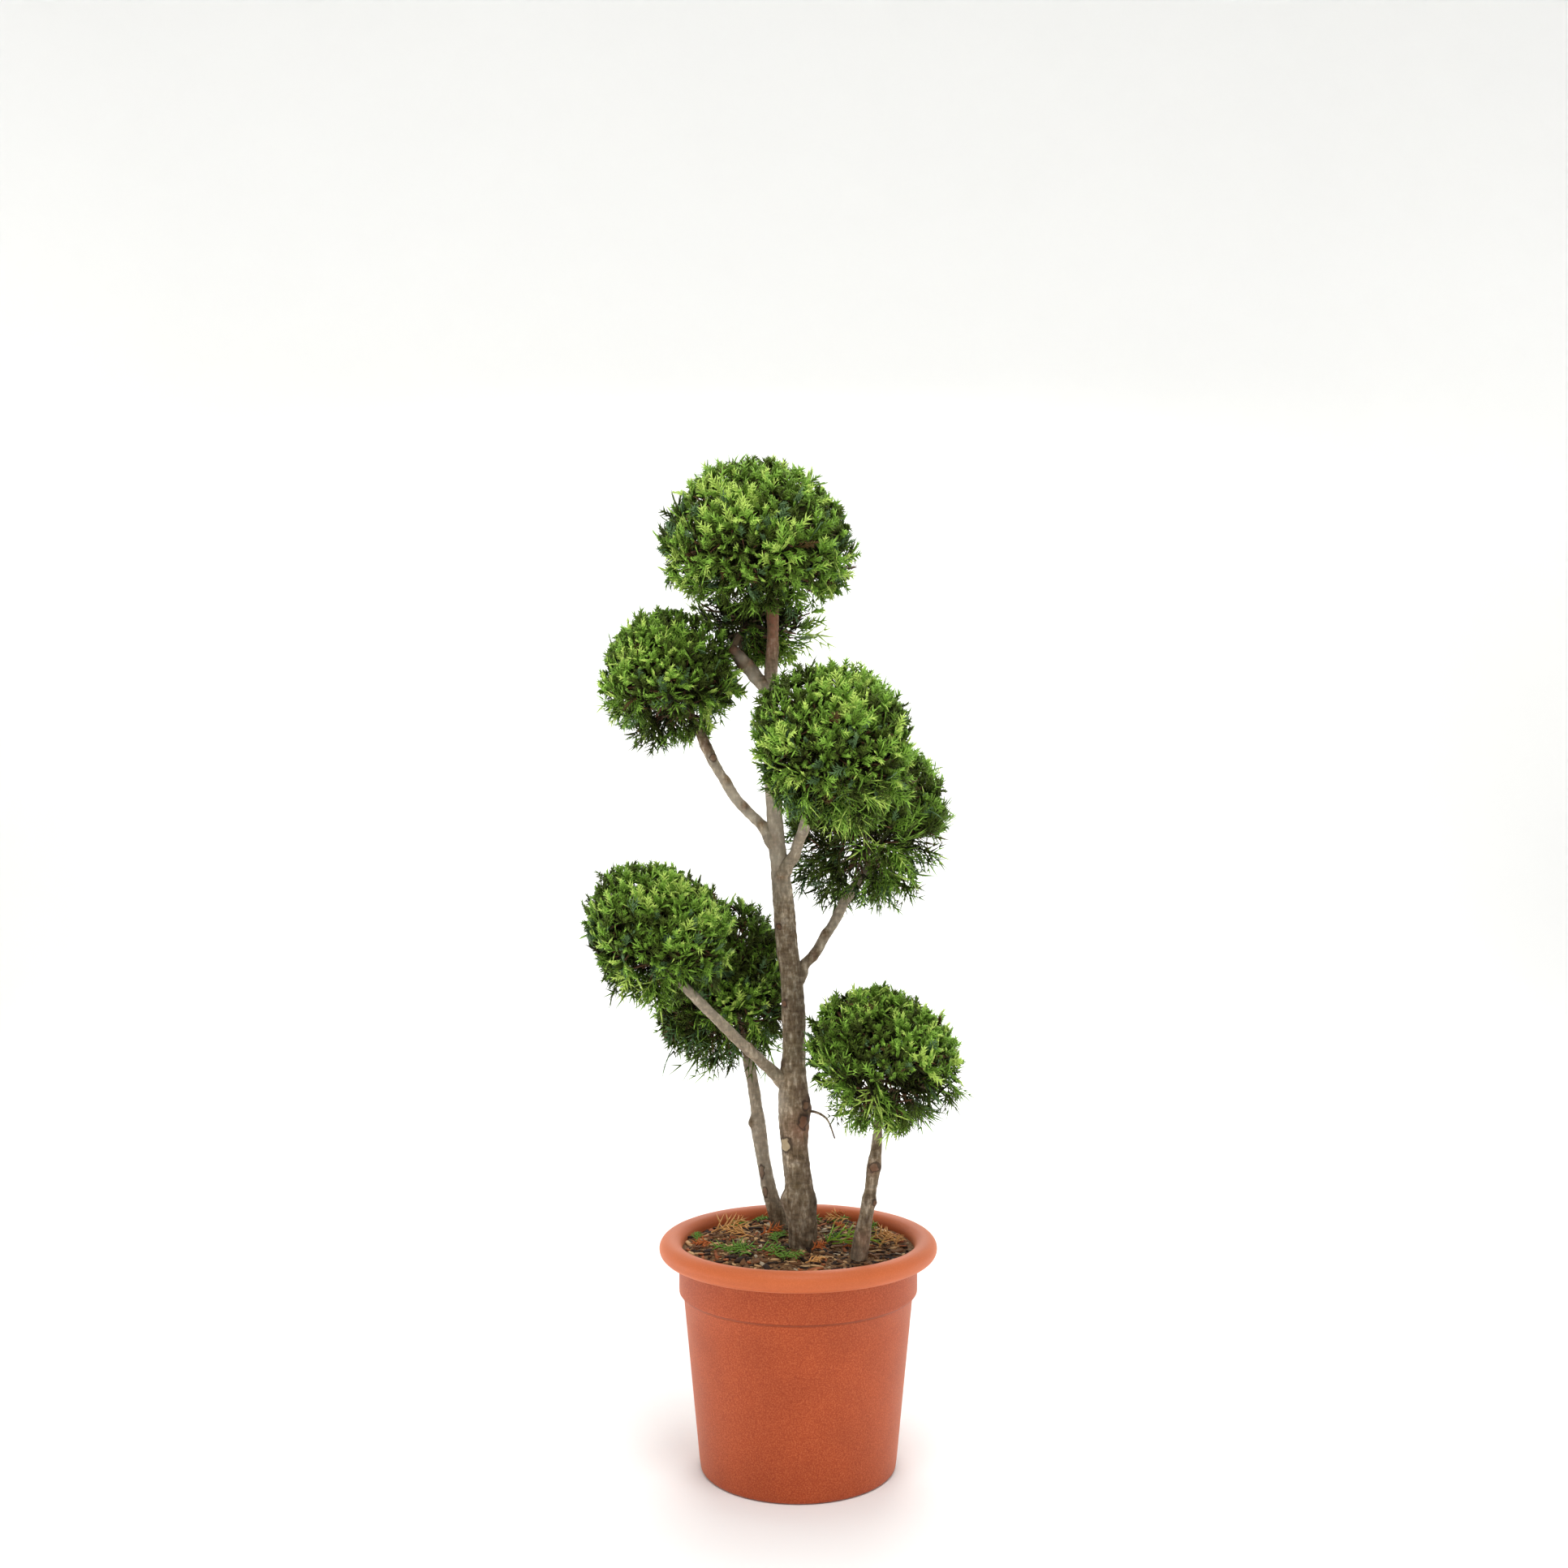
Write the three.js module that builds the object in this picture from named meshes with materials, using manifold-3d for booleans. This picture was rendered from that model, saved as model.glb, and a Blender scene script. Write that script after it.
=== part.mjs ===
// Hybrid garden cypress in a plastic pot, clipped into round pompons on bare limbs.
// Millimetres, +Z up, origin at the centre of the pot's flat underside.
// +Y points away from the viewer, who sees the front pompon hide the middle of the trunk.

import * as THREE from 'three';
import { mergeVertices } from 'three/addons/utils/BufferGeometryUtils.js';
import Module from 'manifold-3d';

const wasm = await Module();
wasm.setup();

// Clearance kept between pieces that touch on the real plant.
const GAP = 0.3;

// Pot: a tapered wall with a band under a rolled lip, 36 cm wide at the lip.
const POT_HEIGHT = 295;
const LIP_RADIUS = 179;
const LIP_DROP = 26;
const BAND_RADIUS = 153.5;
const BAND_FOOT = 226;
const STEP_WIDTH = 5.5;
const STEP_HEIGHT = 2;
const FOOT_RADIUS = 126;
const FOOT_ROUNDING = 4;
const WALL = 3.2;
const FLOOR_THICKNESS = 5;
const LIP_STEPS = 3;
const CURL_UNDER = 0.42;
const POT_SEGMENTS = 32;

// Soil: level round the stems, lower where it meets the pot.
const SOIL_HEIGHT = 284;
const SOIL_EDGE_DROP = 5;
const SOIL_LEVEL_RADIUS = 112;

// Height at which every stem is cut flat, just clear of the soil.
const GROUND = SOIL_HEIGHT + GAP;

// Limbs: points are [x, y, z, radius] up the middle of each one, from its root to its tip.
const LIMBS = {
  trunk: {
    sides: 12,
    rings: 21,
    flatFoot: true,
    points: [
      [5, -18, GROUND, 16.5], [6, -17, 305, 18.4], [3, -15, 330, 20.2], [1, -14, 346, 21.4],
      [1, -13, 360, 17.9], [-2, -12, 383, 16.9], [-4, -10, 408, 17.2], [-5, -8, 432, 18.8],
      [-6, -6, 457, 20.2], [-6, -4, 482, 19], [-6, -1, 515, 16.2], [-5, 0, 535, 15],
      [-9, 0, 627, 14.2], [-17, 0, 697, 13.8], [-20, 0, 735, 13], [-23, 0, 766, 12],
      [-28, 0, 803, 10.5], [-35, 0, 902, 9.2], [-36, 0, 1002, 8.8], [-33, 0, 1064, 8],
      [-34, 0, 1117, 7.6], [-42, 0, 1212, 4.5],
    ],
  },
  rear_stem: {
    sides: 8,
    rings: 7,
    flatFoot: true,
    points: [
      [-22, 73, GROUND, 11.5], [-37, 75, 329, 10.3], [-43, 77, 355, 9.3], [-49, 80, 389, 9.3],
      [-54, 83, 423, 9.8], [-57, 86, 449, 7.8], [-61, 89, 475, 7.7], [-68, 94, 510, 7.2],
    ],
  },
  front_stem: {
    sides: 8,
    rings: 7,
    flatFoot: true,
    points: [
      [75, -75, GROUND, 10.5], [79, -75, 307, 11.2], [85, -75, 340, 8.8], [88, -75, 357, 9.1],
      [91, -75, 373, 7.7], [94, -76, 397, 8.5], [97, -77, 422, 6.8], [100, -79, 457, 5.6],
    ],
  },
  lower_left_bough: {
    sides: 8,
    rings: 10,
    from: 'trunk',
    points: [
      [-8, 0, 483, 8.6], [-35, -12, 510, 7.3], [-74, -38, 550, 6.9], [-114, -62, 594, 6.5],
      [-151, -82, 635, 6], [-161, -88, 648, 5.6],
    ],
  },
  middle_right_bough: {
    sides: 8,
    rings: 10,
    from: 'trunk',
    points: [
      [-6, 0, 617, 8.2], [3, 3, 634, 7.2], [9, 6, 645, 6.9], [18, 10, 654, 6.6],
      [27, 16, 666, 6.4], [34, 22, 678, 6.4], [43, 28, 691, 6.6], [51, 34, 704, 6.8],
      [64, 42, 729, 6.8], [83, 50, 754, 6.5], [92, 56, 766, 6],
    ],
  },
  middle_front_bough: {
    sides: 8,
    rings: 6,
    from: 'trunk',
    points: [
      [-23, 0, 761, 9], [-14, -7, 775, 8.2], [-5, -12, 786, 7.6], [0, -18, 802, 7.3],
      [7, -30, 820, 7], [10, -42, 834, 6.6], [12, -52, 846, 6],
    ],
  },
  upper_left_bough: {
    sides: 8,
    rings: 7,
    from: 'trunk',
    points: [
      [-27, 0, 797, 8.6], [-38, 0, 811, 7.8], [-47, 1, 825, 7.2], [-68, 3, 845, 6.7],
      [-88, 5, 870, 6.5], [-103, 7, 895, 6.4], [-118, 8, 923, 6.8], [-129, 10, 948, 6.2],
    ],
  },
  top_fork_bough: {
    sides: 8,
    rings: 6,
    from: 'trunk',
    points: [
      [-34, 0, 996, 8.2], [-47, 0, 1008, 8.4], [-64, 4, 1029, 8.8], [-76, 6, 1042, 8.2],
      [-87, 8, 1053, 6.6],
    ],
  },
  dead_twig: {
    sides: 5,
    rings: 6,
    from: 'trunk',
    points: [
      [4, -6, 452, 1.9], [18, -12, 457, 1.7], [36, -18, 449, 1.4], [47, -22, 424, 0.9],
    ],
  },
};

// Masses: centre and half sizes of each pompon, how far it leans to the right for each unit of
// height, and its fullness above and below the middle, where 2 is an ellipsoid's. Then the limb that
// carries it, how many sprays are tried, and the size of its dense core as a share of its reach,
// above and below the middle.
const MASSES = {
  top_foliage: {
    centre: [-53, 0, 1191],
    half: [131, 118, 106],
    lean: -0.04,
    fullness: [2, 2.3],
    limb: 'trunk',
    sprays: 34,
    core: [0.77, 0.56],
    seed: 1,
  },
  under_top_foliage: {
    centre: [-62, 46, 1094],
    half: [103, 58, 63],
    lean: 0.2,
    fullness: [2.2, 2.6],
    limb: 'top_fork_bough',
    sprays: 34,
    core: null,
    seed: 12,
  },
  upper_left_foliage: {
    centre: [-165, 10, 1014],
    half: [95, 92, 96],
    lean: 0.08,
    fullness: [2.2, 1.9],
    limb: 'upper_left_bough',
    sprays: 28,
    core: [0.77, 0.58],
    seed: 3,
  },
  middle_front_foliage: {
    centre: [44, -98, 923],
    half: [102, 94, 103],
    lean: -0.1,
    fullness: [2.3, 2.7],
    limb: 'middle_front_bough',
    sprays: 28,
    core: [0.77, 0.6],
    seed: 4,
  },
  middle_right_foliage: {
    centre: [89, 86, 824],
    half: [121, 97, 124],
    lean: 0.11,
    fullness: [2.2, 2.1],
    limb: 'middle_right_bough',
    sprays: 30,
    core: [0.75, 0.48],
    seed: 5,
  },
  lower_left_foliage: {
    centre: [-177, -54, 687],
    half: [93, 90, 95],
    lean: -0.13,
    fullness: [2.1, 2.1],
    limb: 'lower_left_bough',
    sprays: 28,
    core: [0.77, 0.54],
    seed: 6,
  },
  lower_rear_foliage: {
    centre: [-99, 116, 602],
    half: [92, 88, 125],
    lean: 0.08,
    fullness: [1.9, 2.6],
    limb: 'rear_stem',
    sprays: 28,
    core: [0.77, 0.6],
    seed: 7,
  },
  lower_right_foliage: {
    centre: [106, -90, 538],
    half: [102, 94, 93],
    lean: -0.2,
    fullness: [1.8, 2.5],
    limb: 'front_stem',
    sprays: 28,
    core: [0.77, 0.54],
    seed: 8,
  },
};

// Sprays: flat toothed blades, larger than life because each one stands for a bunch of real ones.
// Lengths and widths are shares of the mass's reach. They turn up above the middle, and hang below it.
const SPRAY_LENGTH = 0.5;
const SPRAY_WIDTH = 0.5;
const SPRAY_VARIES = 0.15;
const SPRAY_THICKNESS = 1.8;
const SPRAY_LIFT = 0.4;
const SPRAY_DROOP = 0.15;
const DROOP_BELOW = -0.3;
const TIP_FROM = 0.96;
const TIP_VARIES = 0.1;

// Stem and twigs of a mass. A twig leaves the stem lower down the further it points down, and its
// tip is sunk in the root of its spray.
const STEM_TAPER = 0.8;
const HEART_LIFT = 0.12;
const LOWEST_TWIG = 0.35;
const TWIG_ROOT_RADIUS = 2.4;
const TWIG_TIP_RADIUS = 1.3;
const TWIG_SINK = 0.08;
const TWIG_SPOTS = 6;

// Lumps and facets of the masses, and the clearances that foliage keeps.
const LUMP_SIZE = 0.04;
const MIDDLE_BAND = 0.3;
const CORE_DETAIL = 2;
const LIMB_STEPS = 60;
const LIMB_CLEARANCE = 1.5;
const NEIGHBOUR_CLEARANCE = 0.04;
const GOLDEN_ANGLE = Math.PI * (3 - Math.sqrt(5));

const UP = new THREE.Vector3(0, 0, 1);

const COLOURS = {
  pot: { color: 0xb85838, roughness: 0.62 },
  soil: { color: 0x4c3522, roughness: 0.95 },
  bark: { color: 0x83745f, roughness: 0.9 },
  foliage: { color: 0x55702b, roughness: 0.7 },
};

// A repeatable value from 0 to 1 for each seed and number.
function chance(seed, number) {
  const wave = Math.sin(seed * 12.9898 + number * 78.233) * 43758.5453;
  return wave - Math.floor(wave);
}

// Turns a closed geometry into a solid that can be joined and cut.
function solidFrom(geometry) {
  const bare = geometry.clone();
  bare.deleteAttribute('normal');
  bare.deleteAttribute('uv');
  const merged = mergeVertices(bare, 1e-4);
  const index = merged.index.array;
  const corners = [];
  for (let i = 0; i < index.length; i += 3) {
    const [a, b, c] = [index[i], index[i + 1], index[i + 2]];
    if (a !== b && b !== c && c !== a) {
      corners.push(a, b, c);
    }
  }
  return new wasm.Manifold(new wasm.Mesh({
    numProp: 3,
    vertProperties: new Float32Array(merged.attributes.position.array),
    triVerts: new Uint32Array(corners),
  }));
}

// Turns a solid back into a geometry with flat facets.
function geometryFrom(solid) {
  const mesh = solid.getMesh();
  const shared = new THREE.BufferGeometry();
  shared.setAttribute('position', new THREE.BufferAttribute(new Float32Array(mesh.vertProperties), 3));
  shared.setIndex(new THREE.BufferAttribute(new Uint32Array(mesh.triVerts), 1));
  const faceted = shared.toNonIndexed();
  faceted.computeVertexNormals();
  return faceted;
}

// The largest connected body of a solid, without loose scraps or closed hollows.
function wholeBody(solid) {
  const bodies = solid.decompose();
  bodies.sort((a, b) => b.volume() - a.volume());
  return bodies[0];
}

// A profile of [radius, height] pairs turned about the upright axis.
function turned(profile, segments) {
  const points = profile.map(([radius, height]) => new THREE.Vector2(radius, height));
  return new THREE.LatheGeometry(points, segments).rotateX(Math.PI / 2);
}

// The pot's outer radius at a height below the band.
function bodyRadius(height) {
  const top = BAND_RADIUS - STEP_WIDTH;
  return FOOT_RADIUS + (top - FOOT_RADIUS) * height / BAND_FOOT;
}

// The pot's lip is a curl of the wall: up, over and down outside, open underneath. Its arc runs from
// the edge of the curl, past the widest place and the top, to the inner wall.
function lipCurl(inset) {
  const innerRadius = BAND_RADIUS - WALL;
  const halfWidth = (LIP_RADIUS - innerRadius) / 2;
  const halfHeight = LIP_DROP / 2;
  const angles = [-Math.PI * CURL_UNDER, -Math.PI * CURL_UNDER / 2];
  for (let i = 0; i <= 2 * LIP_STEPS; i += 1) {
    angles.push(Math.PI * i / (2 * LIP_STEPS));
  }
  return angles.map((angle) => [
    innerRadius + halfWidth + (halfWidth - inset) * Math.cos(angle),
    POT_HEIGHT - halfHeight + (halfHeight - inset) * Math.sin(angle),
  ]);
}

function makePot() {
  const outside = [
    [0, 0],
    [FOOT_RADIUS - FOOT_ROUNDING, 0],
    [bodyRadius(FOOT_ROUNDING), FOOT_ROUNDING],
    [bodyRadius(BAND_FOOT - STEP_HEIGHT), BAND_FOOT - STEP_HEIGHT],
    [BAND_RADIUS, BAND_FOOT],
  ];
  const inside = [
    [BAND_RADIUS - WALL, BAND_FOOT - STEP_HEIGHT],
    [bodyRadius(BAND_FOOT - STEP_HEIGHT) - WALL, BAND_FOOT - 2 * STEP_HEIGHT],
    [bodyRadius(FLOOR_THICKNESS) - WALL, FLOOR_THICKNESS],
    [0, FLOOR_THICKNESS],
  ];
  return turned([...outside, ...lipCurl(WALL).reverse(), ...lipCurl(0), ...inside], POT_SEGMENTS);
}

// The soil fills the pot to just under its lip.
function makeSoil() {
  const clear = WALL + 2 * GAP;
  const edgeHeight = SOIL_HEIGHT - SOIL_EDGE_DROP;
  return turned([
    [0, FLOOR_THICKNESS + GAP],
    [bodyRadius(FLOOR_THICKNESS) - clear, FLOOR_THICKNESS + GAP],
    [bodyRadius(BAND_FOOT - STEP_HEIGHT) - clear, BAND_FOOT - 2 * STEP_HEIGHT],
    [BAND_RADIUS - clear, BAND_FOOT],
    [BAND_RADIUS - clear, edgeHeight],
    [SOIL_LEVEL_RADIUS, SOIL_HEIGHT],
    [0, SOIL_HEIGHT],
  ], POT_SEGMENTS);
}

// The middle line and thickness of a limb, from 0 at its root to 1 at its tip.
function limbLine(points) {
  const curveOf = (place) => new THREE.CatmullRomCurve3(points.map(place));
  const middle = curveOf(([x, y, z]) => new THREE.Vector3(x, y, z));
  const thickness = curveOf(([, , , radius]) => new THREE.Vector3(radius, 0, 0));
  return {
    at: (share) => middle.getPoint(share),
    along: (share) => middle.getTangent(share).normalize(),
    radius: (share) => thickness.getPoint(share).x,
  };
}

// A limb is a round bar bent along its line. An extra thickness makes the cutter that keeps
// neighbours clear of it.
function makeLimb({ points, sides, rings, flatFoot = false }, extra = 0) {
  const line = limbLine(points);
  const bar = new THREE.CylinderGeometry(1, 1, 1, sides, rings);
  const frames = [];
  const across = new THREE.Vector3(0, 1, 0);
  for (let ring = 0; ring <= rings; ring += 1) {
    const share = ring / rings;
    const along = line.along(share);
    across.addScaledVector(along, -across.dot(along)).normalize();
    const centre = line.at(share);
    const endShift = (ring === rings ? extra : 0) - (ring === 0 ? extra : 0);
    centre.addScaledVector(along, endShift);
    frames.push({
      centre,
      radius: line.radius(share) + extra,
      across: across.clone(),
      other: new THREE.Vector3().crossVectors(across, along),
    });
  }
  const position = bar.attributes.position;
  for (let i = 0; i < position.count; i += 1) {
    const ring = Math.round((position.getY(i) + 0.5) * rings);
    const { centre, radius, across: side, other } = frames[ring];
    const place = centre.clone()
      .addScaledVector(side, position.getX(i) * radius)
      .addScaledVector(other, position.getZ(i) * radius);
    if (flatFoot && ring === 0) {
      place.z = points[0][2] - extra;
    }
    position.setXYZ(i, place.x, place.y, place.z);
  }
  return bar;
}

// Places up the middle of every limb, used to keep foliage clear of bark.
const limbPlaces = Object.values(LIMBS).flatMap(({ points }) => {
  const line = limbLine(points);
  return Array.from({ length: LIMB_STEPS + 1 }, (unused, i) => (
    { middle: line.at(i / LIMB_STEPS), radius: line.radius(i / LIMB_STEPS) }
  ));
});

function touchesLimb(place) {
  return limbPlaces.some(({ middle, radius }) => middle.distanceTo(place) < radius + LIMB_CLEARANCE);
}

// How far a mass reaches from its centre in a direction: a rounded body with shallow lumps that
// leans to one side. Its fullness blends across the middle from above to below.
function reach(mass, direction) {
  const [a, b, c] = mass.half;
  const lower = THREE.MathUtils.smoothstep(-direction.z, -MIDDLE_BAND, MIDDLE_BAND);
  const power = THREE.MathUtils.lerp(...mass.fullness, lower);
  const parts = [(direction.x - mass.lean * direction.z) / a, direction.y / b, direction.z / c];
  const sum = parts.reduce((total, part) => total + Math.abs(part) ** power, 0);
  const plain = sum ** (-1 / power);
  const lumps = Math.sin(4 * direction.x + 1.7 * mass.seed)
    + Math.sin(5 * direction.y + 2.3 * mass.seed)
    + Math.sin(4 * direction.z + 3.1 * mass.seed);
  return plain * (1 + LUMP_SIZE * lumps / 2);
}

// Where a place lies in a mass: 0 at its centre, 1 at its clipped face.
function shareOfReach(mass, place) {
  const arm = place.clone().sub(new THREE.Vector3(...mass.centre));
  const length = arm.length();
  return length / reach(mass, arm.divideScalar(length));
}

// The share of a mass's reach that its dense core fills in a direction: less below its middle, where
// the pompon is looser.
function coreShare(mass, direction) {
  if (!mass.core) {
    return 0;
  }
  const [above, below] = mass.core;
  const lower = THREE.MathUtils.smoothstep(-direction.z, -0.1, 0.8);
  return THREE.MathUtils.lerp(above, below, lower);
}

// A place is a mass's own while every other mass is further from it and has no core there.
function leavesSpace(mass, place) {
  const own = shareOfReach(mass, place);
  return Object.values(MASSES).filter((other) => other !== mass).some((other) => {
    const direction = place.clone().sub(new THREE.Vector3(...other.centre)).normalize();
    const taken = Math.max(own, coreShare(other, direction));
    return shareOfReach(other, place) < taken + NEIGHBOUR_CLEARANCE;
  });
}

// Directions spread evenly over a sphere along a golden-angle spiral, each nudged a little.
function spreadDirection(index, count, seed) {
  const height = 1 - (2 * index + 1) / count;
  const ring = Math.sqrt(1 - height * height);
  const angle = index * GOLDEN_ANGLE + seed;
  const nudge = 0.5 / Math.sqrt(count);
  return new THREE.Vector3(
    ring * Math.cos(angle) + nudge * (chance(seed, index) - 0.5),
    ring * Math.sin(angle) + nudge * (chance(seed, index + count) - 0.5),
    height,
  ).normalize();
}

// The dense core of a clipped mass.
function makeCore(mass) {
  const ball = new THREE.IcosahedronGeometry(1, CORE_DETAIL);
  const position = ball.attributes.position;
  for (let i = 0; i < position.count; i += 1) {
    const direction = new THREE.Vector3().fromBufferAttribute(position, i).normalize();
    const size = reach(mass, direction) * coreShare(mass, direction);
    position.setXYZ(
      i,
      mass.centre[0] + direction.x * size,
      mass.centre[1] + direction.y * size,
      mass.centre[2] + direction.z * size,
    );
  }
  return ball;
}

// The outline of a spray on its own plane, from its root at 0 to its tip at its length: a fan that
// ends in three teeth, with one side tooth lower than the other.
function sprayOutline(length, width) {
  return [
    [0, 0],
    [-0.5 * width, 0.72 * length],
    [-0.16 * width, 0.72 * length],
    [0, length],
    [0.14 * width, 0.78 * length],
    [0.46 * width, 0.86 * length],
  ];
}

// A frame that stands at a place, with its Y axis along a direction, turned about it by a roll.
function frameAlong(place, direction, roll) {
  const turn = new THREE.Quaternion().setFromUnitVectors(new THREE.Vector3(0, 1, 0), direction);
  const spin = new THREE.Quaternion().setFromAxisAngle(direction, roll);
  return new THREE.Matrix4().compose(place, spin.multiply(turn), new THREE.Vector3(1, 1, 1));
}

function makeSpray(outline, frame) {
  const shape = new THREE.Shape(outline.map(([x, y]) => new THREE.Vector2(x, y)));
  const blade = new THREE.ExtrudeGeometry(shape, { depth: SPRAY_THICKNESS, bevelEnabled: false });
  return blade.translate(0, 0, -SPRAY_THICKNESS / 2).applyMatrix4(frame);
}

// A twig is a three-sided bar that thins from its root to its tip.
function makeTwig(root, tip, rootRadius, tipRadius) {
  const arm = tip.clone().sub(root);
  const length = arm.length();
  const bar = new THREE.CylinderGeometry(tipRadius, rootRadius, length, 3);
  const middle = root.clone().addScaledVector(arm, 0.5);
  return bar.applyMatrix4(frameAlong(middle, arm.divideScalar(length), 0));
}

// A mass's stem grows on from the tip of its limb to the mass's heart, a little above the centre.
function stemOf(mass) {
  const limb = limbLine(LIMBS[mass.limb].points);
  const heart = new THREE.Vector3(...mass.centre).addScaledVector(UP, HEART_LIFT * mass.half[2]);
  return { root: limb.at(1), heart, radius: STEM_TAPER * limb.radius(1) };
}

// One twig of a mass with the spray on its tip, or nothing where it would leave the mass's own space
// or touch a limb.
function makeShoot(mass, stem, index) {
  const direction = spreadDirection(index, mass.sprays, mass.seed);
  const varied = (order) => chance(mass.seed, index + order * mass.sprays);
  const size = reach(mass, direction);
  const tip = new THREE.Vector3(...mass.centre)
    .addScaledVector(direction, size * (TIP_FROM + TIP_VARIES * varied(3)));
  const lift = direction.z > DROOP_BELOW ? SPRAY_LIFT : -SPRAY_DROOP;
  const growth = direction.clone().addScaledVector(UP, lift).normalize();
  const length = SPRAY_LENGTH * size * (1 + SPRAY_VARIES * (2 * varied(4) - 1));
  const foot = tip.clone().addScaledVector(growth, -length);
  const frame = frameAlong(foot, growth, Math.PI * varied(5));
  const outline = sprayOutline(length, SPRAY_WIDTH * size);
  const leaves = LOWEST_TWIG + (1 - LOWEST_TWIG) * THREE.MathUtils.smoothstep(direction.z, -1, 0.4);
  const twigRoot = stem.root.clone().lerp(stem.heart, leaves);
  const twigTip = foot.clone().addScaledVector(growth, TWIG_SINK * length);
  const spots = outline.map(([x, y]) => new THREE.Vector3(x, y, 0).applyMatrix4(frame));
  for (let i = 2; i <= TWIG_SPOTS; i += 1) {
    spots.push(twigRoot.clone().lerp(twigTip, i / TWIG_SPOTS));
  }
  if (spots.some((spot) => leavesSpace(mass, spot) || touchesLimb(spot))) {
    return [];
  }
  return [makeTwig(twigRoot, twigTip, TWIG_ROOT_RADIUS, TWIG_TIP_RADIUS), makeSpray(outline, frame)];
}

// One mass: its stem, the twigs that branch from the stem to every side with a spray on each, and a
// core where the mass is dense, all cut clear of the limb that carries it and of the trunk.
function makeMass(mass) {
  const stem = stemOf(mass);
  const pieces = [makeTwig(stem.root, stem.heart, stem.radius, TWIG_ROOT_RADIUS)];
  if (mass.core) {
    pieces.push(makeCore(mass));
  }
  for (let i = 0; i < mass.sprays; i += 1) {
    pieces.push(...makeShoot(mass, stem, i));
  }
  const limbs = [mass.limb, 'trunk'].map((name) => solidFrom(makeLimb(LIMBS[name], GAP)));
  const grown = wasm.Manifold.union(pieces.map(solidFrom));
  return geometryFrom(wholeBody(grown.subtract(wasm.Manifold.union(limbs))));
}

function addPart(group, name, geometry, finish) {
  const material = new THREE.MeshStandardMaterial({ ...finish, metalness: 0 });
  const mesh = new THREE.Mesh(geometry, material);
  mesh.name = name;
  group.add(mesh);
}

const group = new THREE.Group();
group.name = 'potted_cypress';

addPart(group, 'pot', makePot(), COLOURS.pot);
addPart(group, 'soil', makeSoil(), COLOURS.soil);

// Stems stand on the soil. Boughs start inside the trunk and are cut back to just clear of it.
for (const [name, limb] of Object.entries(LIMBS)) {
  let geometry = makeLimb(limb);
  if (limb.from) {
    const clearOf = solidFrom(makeLimb(LIMBS[limb.from], GAP));
    geometry = geometryFrom(wholeBody(solidFrom(geometry).subtract(clearOf)));
  }
  addPart(group, name, geometry, COLOURS.bark);
}

for (const [name, mass] of Object.entries(MASSES)) {
  addPart(group, name, makeMass(mass), COLOURS.foliage);
}

export default group;
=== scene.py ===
# Looks of the potted pompon cypress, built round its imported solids. +Z is up, and +Y points away from
# the camera. Lengths are in millimetres and are turned to metres when a mesh is made, but the studio's
# own lengths, at the end, are in metres.

import math

import bpy
import numpy as np
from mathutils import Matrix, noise


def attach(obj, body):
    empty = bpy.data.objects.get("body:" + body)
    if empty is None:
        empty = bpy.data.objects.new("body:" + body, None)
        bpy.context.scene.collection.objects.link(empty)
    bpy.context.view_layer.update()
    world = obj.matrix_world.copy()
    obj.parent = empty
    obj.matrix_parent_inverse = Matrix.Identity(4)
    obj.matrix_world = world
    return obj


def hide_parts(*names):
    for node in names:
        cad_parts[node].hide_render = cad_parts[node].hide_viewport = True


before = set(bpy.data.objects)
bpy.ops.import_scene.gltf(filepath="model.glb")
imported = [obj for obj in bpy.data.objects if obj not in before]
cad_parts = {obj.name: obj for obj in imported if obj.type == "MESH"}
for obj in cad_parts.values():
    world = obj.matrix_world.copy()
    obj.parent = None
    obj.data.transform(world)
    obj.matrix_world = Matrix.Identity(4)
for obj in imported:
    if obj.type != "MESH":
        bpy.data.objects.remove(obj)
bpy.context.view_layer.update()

MM = 0.001
RIGHT, AWAY, UP = np.eye(3)

# Pot and soil, in the source's own sizes.
POT_HEIGHT = 295
LIP_RADIUS = 179
LIP_DROP = 26
BAND_RADIUS = 153.5
BAND_FOOT = 226
STEP_WIDTH = 5.5
STEP_HEIGHT = 2
FOOT_RADIUS = 126
FOOT_ROUNDING = 4
WALL = 3.2
INNER_RADIUS = BAND_RADIUS - WALL
FLOOR_THICKNESS = 5
CURL_UNDER = 0.42
SOIL_HEIGHT = 284
SOIL_EDGE_DROP = 5
SOIL_LEVEL_RADIUS = 112
GAP = 0.3
GROUND = SOIL_HEIGHT + GAP

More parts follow.
